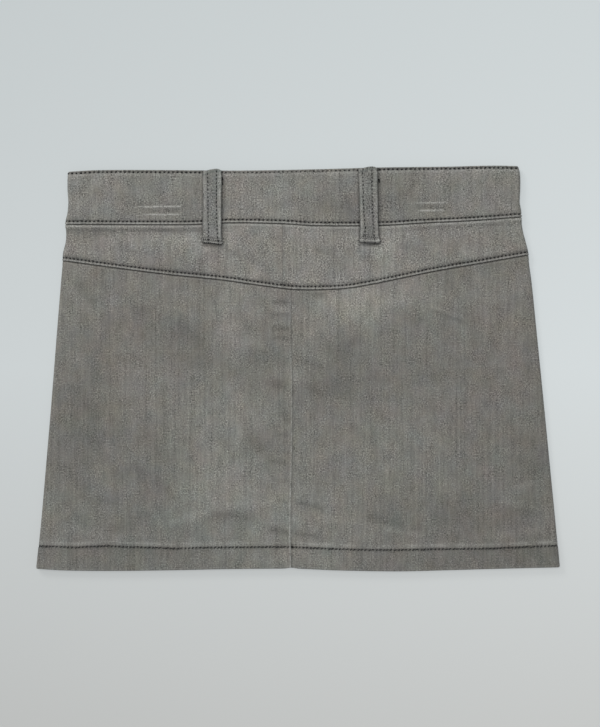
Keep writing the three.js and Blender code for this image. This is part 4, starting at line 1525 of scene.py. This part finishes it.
def under_loop(x, y):
    """The height of what a back loop lies over."""
    past = smooth(waist_seam(x) - y, -2, 15)
    return back_face(x, np.minimum(y, waist_edge(x))) + 0.2 + 0.75 * (1 - past)


def drift_at(drift, from_foot):
    """How far a loop's rows of stitches lie off their even place."""
    places, offsets = np.transpose(drift)
    return np.interp(from_foot, places, offsets)


def loop_section(off, from_foot, seed, style):
    """What a loop's edges, rolled foot, stitches and tacks do to its face, where it is worn and painted with
    highlights, and where painted shade falls on it.
    """
    tacks = style["tacks"]
    row = np.abs(np.abs(off - drift_at(style["drift"], from_foot)) - LOOP_GAUGE / 2)
    edge = LOOP_WIDTH / 2 - np.abs(off)
    relief = 0.14 * hump(np.abs(off), 5.3, 1.0) - 0.30 * hump(row, 0, 0.6) - round_off(edge, 0.9, 0.55)
    relief += 0.10 * wander(seed, 2.6, off, from_foot, 1.2)
    worn = (0.28 + 0.25 * wander(seed + 6, 4, off, from_foot)) * hump(edge, 1.3, 0.9)
    # Painted shade in the stitch grooves, and a painted dark outline at its edges.
    dark = 0.22 * hump(row, 0, 0.7) + 1.0 * hump(edge, 0, 0.5)
    # Each tack sinks into a groove with painted shade in it.
    for tack in tacks:
        relief -= 0.40 * hump(from_foot, tack, 0.6)
        dark += 0.5 * hump(from_foot, tack, 0.6)
    roll = min(tacks) / 2
    relief += 0.45 * (1 + 0.5 * wander(seed + 3, 4, off)) * hump(from_foot, roll + 0.3, 0.6 * roll)
    relief -= round_off(from_foot, 1.2, 1.6)
    # A painted highlight on the crest of the rolled foot, and wear between the tacks.
    worn += (0.65 + 0.5 * wander(seed + 7, 3.0, off)) * hump(from_foot, roll + 0.3, 0.4 * roll)
    worn += (0.45 + 0.3 * wander(seed + 4, 2.5, off)) * hump(from_foot, sum(tacks) / 2, 0.5)
    # Painted shadow under the foot, and painted shade with a cooler tint on the top fold.
    dark += 1.3 * hump(from_foot, 0, 0.7)
    top_fold_shade = hump(from_foot - 0.12 * off, from_foot.max() - 4.6, 0.9)
    dark += 0.40 * top_fold_shade
    fade = 0.04 + 0.09 * wander(seed + 5, 3.5, off, from_foot, 1.6) + 0.08 * smooth(np.abs(off), 3.4, 4.2)
    return relief, dict(worn=worn, dark=dark, fade=fade + style["fade"], warmth_and_cool_shade=-0.05 * top_fold_shade)


def loop_outline(points, off, from_foot, seed, style):
    """Bends a loop's strip: uneven sides, a tilted foot with round corners, and a top sunk at the sides."""
    share = off / (LOOP_WIDTH / 2)
    length = from_foot.max()
    points[..., 0] += share * 0.22 * wander(seed + 8, 9, from_foot + 40 * np.sign(off))
    points[..., 1] += 1.2 * smooth(np.abs(share), 0.7, 1.0) ** 2 * (1 - smooth(from_foot, 0, 3))
    points[..., 1] -= style["tilt"] * share * (1 - smooth(from_foot, 0, 14))
    points[..., 1] += 0.15 * wander(seed + 9, 4, off) * (1 - smooth(from_foot, 0, 4))
    left = np.clip((LOOP_PEAK - share) / (1 + LOOP_PEAK), 0, 1)
    right = np.clip((share - LOOP_PEAK) / (1 - LOOP_PEAK), 0, 1)
    sink = style["sinks"][0] * left ** 1.2 + style["sinks"][1] * right ** 2
    points[..., 1] -= sink * smooth(from_foot, length - 18, length - 6)


def shape_loop(path, seed, style):
    """A loop's outer and inner points, from its foot up, and what its material reads at each."""
    along, line, out, thick = path
    across = np.concatenate([[-1, -0.97, -0.92], np.linspace(-0.86, 0.86, 25), [0.92, 0.97, 1]])
    off = across[None, :] * LOOP_WIDTH / 2
    travelled = np.concatenate([[0], np.cumsum(np.linalg.norm(np.diff(line, axis=0), axis=1))])
    off, from_foot = np.broadcast_arrays(off, (travelled[-1] - travelled)[:, None])
    relief, values = loop_section(off, from_foot, seed, style)
    inner = np.repeat(line[:, None, :], len(across), 1)
    inner[..., 0] += off * loop_wide(along)[:, None]
    outer = inner + out[:, None, :] * (thick[:, None] + relief)[..., None]
    for points in (outer, inner):
        loop_outline(points, off, from_foot, seed, style)
    uv = np.stack([off + 900 + 37 * seed, from_foot], -1) * MM
    return outer[::-1], inner[::-1], {key: value[::-1] for key, value in values.items()}, uv[::-1]


def back_loop_path(top, foot):
    """The inner line of a back loop, its outward directions, and its thickness at each step."""
    turned = LOOP_THICK * 0.7 + LOOP_TURN
    steps = graded(1.0, 0.014, [(1.0, 0.03, 0.006), (0.0, 0.03, 0.008)])
    x = top[0] + (foot[0] - top[0]) * steps
    y = top[1] - turned + (foot[1] - top[1] + turned) * steps
    z = under_loop(x, y) + loop_gap(steps)
    flat = np.stack([x, y, z], -1)
    slope = np.gradient(flat, axis=0)
    out = np.cross(slope, np.array([1.0, 0, 0]))
    out /= np.linalg.norm(out, axis=1, keepdims=True)
    out *= np.sign(out[:, 2:])
    turn = np.radians(np.linspace(90, 8, 9))[:, None]
    start = flat[0] - out[0] * LOOP_TURN
    forward = np.array([0, 1.0, 0])
    round_out = forward * np.sin(turn) + out[0] * np.cos(turn)
    bend = start + round_out * LOOP_TURN
    down = bend[0] + np.linspace(2.6, 0.4, 5)[:, None] * np.array([0, 0, -1.0])
    line = np.concatenate([down, bend, flat])
    directions = np.concatenate([np.repeat(forward[None], len(down), 0), round_out, out])
    over = len(down) + len(bend)
    along = np.concatenate([np.zeros(over), steps])
    thick = loop_thick(along)
    thick[:over] = np.linspace(0.8, 1.25, over)
    return along, line, directions, thick


def front_loop_path(x):
    """The same for a front loop, which lies flat under the skirt, its face down on the floor."""
    steps = graded(1.0, 0.02, [(1.0, 0.03, 0.006), (0.0, 0.03, 0.01)])
    top = float(front_waist_edge(x)) + FRONT_LOOP_ABOVE
    y = top - FRONT_LOOP_LENGTH * steps
    line = np.stack([x + 0 * y, y, LOOP_THICK + 0 * y], -1)
    out = np.repeat(np.array([[0, 0, -1.0]]), len(y), 0)
    return steps, line, out, np.full(len(y), LOOP_THICK - 0.02)


def knot_line(x, y):
    """A short line on the waistband along which a thread is tied off."""
    places = np.array([(x - 0.5, y + 1.6), (x, y), (x + 0.5, y - 1.4)])
    height = back_face(places[:, 0], places[:, 1]) + 0.75
    points = np.column_stack([places, height + 0.3])
    return points, np.repeat([[0, 0, 1.0]], 3, 0), KNOT_PITCH


def across_grid(grid, off, places):
    """The points of a grid along a line that runs at its own place across each row."""
    return np.array(
        [[np.interp(place, off, row[:, axis]) for axis in range(3)] for row, place in zip(grid, places)]
    )


def loop_lines(outer, up, style):
    """A loop's lines of stitches: its two rows, and the tacks across its foot."""
    normals = row_normals(outer, up)
    off = outer[PLAIN_ROW, :, 0] - outer[PLAIN_ROW, :, 0].mean()
    steps = np.linalg.norm(np.diff(outer[:, len(off) // 2], axis=0), axis=1)
    from_foot = np.concatenate([[0], np.cumsum(steps)])
    for side in (-LOOP_GAUGE / 2, LOOP_GAUGE / 2):
        places = side + drift_at(style["drift"], from_foot)
        yield across_grid(outer, off, places), across_grid(normals, off, places), LOOP_PITCH
    for tack in style["tacks"]:
        row = int(np.abs(from_foot - tack).argmin())
        yield outer[row, 2:-2], normals[row, 2:-2], TACK_PITCH


def add_loop(name, path, seed, up, style):
    """Models a loop with its stitches, and puts it in place of its solid."""
    outer, inner, values, uv = shape_loop(path, seed, style)
    if up == FRONT:
        outer[..., 2] = np.maximum(outer[..., 2], 0)
    loop = make_wall(f"{name}_cloth", outer, inner, values, uv, up)
    loop.data.materials.append(loop_denim)
    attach(loop, BODY)
    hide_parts(name)
    sewing = [sew(f"{name}_stitches", loop_lines(outer, up, style), proud=LOOP_PROUD[up], **LOOP_STITCH)]
    if style["knots"]:
        knots = [knot_line(*place) for place in style["knots"]]
        sewing.append(sew(f"{name}_knots", knots, **KNOT_STITCH))


def sink_between_loops(points):
    """The waistband's top stitches are pulled deeper into the cloth between the back loops."""
    left, right = (loop["top"][0] for loop in BACK_LOOPS.values())
    x = points[:, 0]
    points[:, 2] -= 0.40 * smooth(x, left, left + 12) * (1 - smooth(x, right - 12, right))


def sew_seams(pieces):
    """The topstitching of each cloth piece."""
    for name, piece in pieces.items():
        style = HEM_STITCH if "panel" in name else SEAM_STITCH
        lines = [(*row_at(piece, place), pitch) for place, pitch, _ in piece["seams"]]
        if name == "waistband_back":
            sink_between_loops(lines[-1][0])
        if name == "front_panel_right":
            lines += [fly_line(width) for width in FLY_ROWS]
        stitches = sew(f"{name}_stitches", lines, proud=PROUD[piece["layer"]], **style)
        width, length, area = CUTS[name]


def choose_end(piece, lowest=0.9):
    """Selects the faces that look straight down."""
    for face in piece.data.polygons:
        face.select = face.normal.z < -lowest


def model_button():
    """The button under the waistband's end, its face down: a rolled rim, a dished ring and a low dome."""
    bpy.ops.object.select_all(action="DESELECT")
    place = (BUTTON_X * MM, BUTTON_Y * MM, BUTTON_THICK * MM / 2)
    bpy.ops.mesh.primitive_cylinder_add(
        vertices=BUTTON_SIDES, radius=BUTTON_RADIUS * MM, depth=BUTTON_THICK * MM, location=place
    )
    button = bpy.context.object
    button.name = "button_disc"
    bpy.ops.object.transform_apply(location=True, rotation=True, scale=True)
    choose_end(button)
    bpy.ops.object.mode_set(mode="EDIT")
    bpy.ops.mesh.select_mode(type="FACE")
    for width, rise in BUTTON_RINGS:
        bpy.ops.mesh.inset(thickness=width * MM)
        bpy.ops.transform.translate(value=(0, 0, rise * MM))
    bpy.ops.mesh.select_all(action="SELECT")
    bpy.ops.mesh.normals_make_consistent(inside=False)
    bpy.ops.object.mode_set(mode="OBJECT")
    bevel = button.modifiers.new("rounded", "BEVEL")
    bevel.width = BUTTON_BEVEL * MM
    bevel.segments = 3
    bevel.limit_method = "ANGLE"
    bpy.ops.object.modifier_apply(modifier=bevel.name)
    smooth_by_angle(button, 40)
    button.data.materials.append(nickel)
    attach(button, BODY)
    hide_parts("button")


def make_floor():
    """A wide pale floor whose colour is painted lighter and darker from end to end and from side to side, as
    light would fall, and which glows, though it is no lamp, to lift the shadows on it.
    """
    bpy.ops.object.select_all(action="DESELECT")
    bpy.ops.mesh.primitive_plane_add(size=FLOOR_SIZE, location=(0, 0, -FLOOR_DROP))
    bpy.ops.object.transform_apply(location=True, rotation=True, scale=True)
    floor = bpy.context.object
    floor.name = "studio_floor"
    material, tree, shader = new_material("pale_paper")
    place = add_node(tree, "TexCoord").outputs["Object"]
    parts = add_node(tree, "SeparateXYZ", {0: place})
    upwards = add_node(tree, "MapRange", {0: parts.outputs[1], 1: -0.28, 2: 0.28, 3: 0.0, 4: 1.0})
    ramp = add_node(tree, "ValToRGB", {0: upwards.outputs[0]})
    stops = ramp.color_ramp.elements
    stops[0].color = FLOOR_NEAR
    stops[1].color = FLOOR_FAR
    stops.new(0.5).color = FLOOR_MIDDLE
    # Painted light: the floor is darker to the left, to even out the light from the upper left.
    sideways = add_node(tree, "MapRange", {0: parts.outputs[0], 1: -0.25, 2: 0.25, 3: 0.925, 4: 1.075})
    feeds = {0: ramp.outputs[0], "Scale": sideways.outputs[0]}
    colour = add_node(tree, "VectorMath", feeds, operation="SCALE").outputs[0]
    lit = add_node(tree, "VectorMath", {0: colour, "Scale": 1 - FLOOR_GLOW}, operation="SCALE").outputs[0]
    tree.links.new(lit, shader.inputs["Base Color"])
    tree.links.new(colour, shader.inputs["Emission Color"])
    shader.inputs["Emission Strength"].default_value = FLOOR_GLOW
    shader.inputs["Roughness"].default_value = 0.9
    shader.inputs["Specular IOR Level"].default_value = 0.1
    floor.data.materials.append(material)
    floor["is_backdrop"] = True


def add_light(name, place, size, power, colour):
    """A round soft light that looks at the skirt's middle."""
    light = bpy.data.lights.new(name, "AREA")
    light.shape = "DISK"
    light.size = size
    light.energy = power
    light.color = colour
    lamp = bpy.data.objects.new(name, light)
    bpy.context.scene.collection.objects.link(lamp)
    lamp.location = place
    direction = -np.array(place, float)
    lamp.rotation_euler = (
        math.acos(-direction[2] / np.linalg.norm(direction)),
        0,
        math.atan2(direction[1], direction[0]) - math.pi / 2,
    )


def light_stage():
    """Soft light from straight above, and a weaker one from the upper left that draws the folds."""
    world = bpy.data.worlds.new("studio")
    world.use_nodes = True
    sky = world.node_tree.nodes["Background"]
    sky.inputs["Color"].default_value = SKY_COLOUR
    sky.inputs["Strength"].default_value = SKY_STRENGTH
    bpy.context.scene.world = world
    for name, light in LIGHTS.items():
        add_light(name, **light)
    bpy.context.scene.view_settings.view_transform = "Standard"


def aim_camera():
    """A camera straight above, at the photograph's frame."""
    camera = bpy.data.objects.new("camera", bpy.data.cameras.new("camera"))
    bpy.context.scene.collection.objects.link(camera)
    camera.data.lens = LENS
    camera.data.sensor_width = SENSOR
    height = FRAME_HEIGHT * LENS / SENSOR + FRAME_LEVEL
    camera.location = (FRAME_MIDDLE[0] * MM, FRAME_MIDDLE[1] * MM, height * MM)
    bpy.context.scene.camera = camera


aim_camera()
light_stage()
make_floor()
pieces = {piece["name"]: make_cloth(piece) for piece in (*back_pieces(), *front_pieces())}
sew_seams(pieces)
for number, (name, loop) in enumerate(BACK_LOOPS.items()):
    add_loop(name, back_loop_path(loop["top"], loop["foot"]), BACK_LOOP_SEED + 10 * number, BACK, loop)
for number, (name, x) in enumerate(FRONT_LOOPS.items()):
    add_loop(name, front_loop_path(x), FRONT_LOOP_SEED + 10 * number, FRONT, PLAIN_LOOP)
model_button()

boxes = {"cad": cad_box, "visual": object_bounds()}
{name: [list(map(float, corner)) for corner in box] for name, box in boxes.items()}
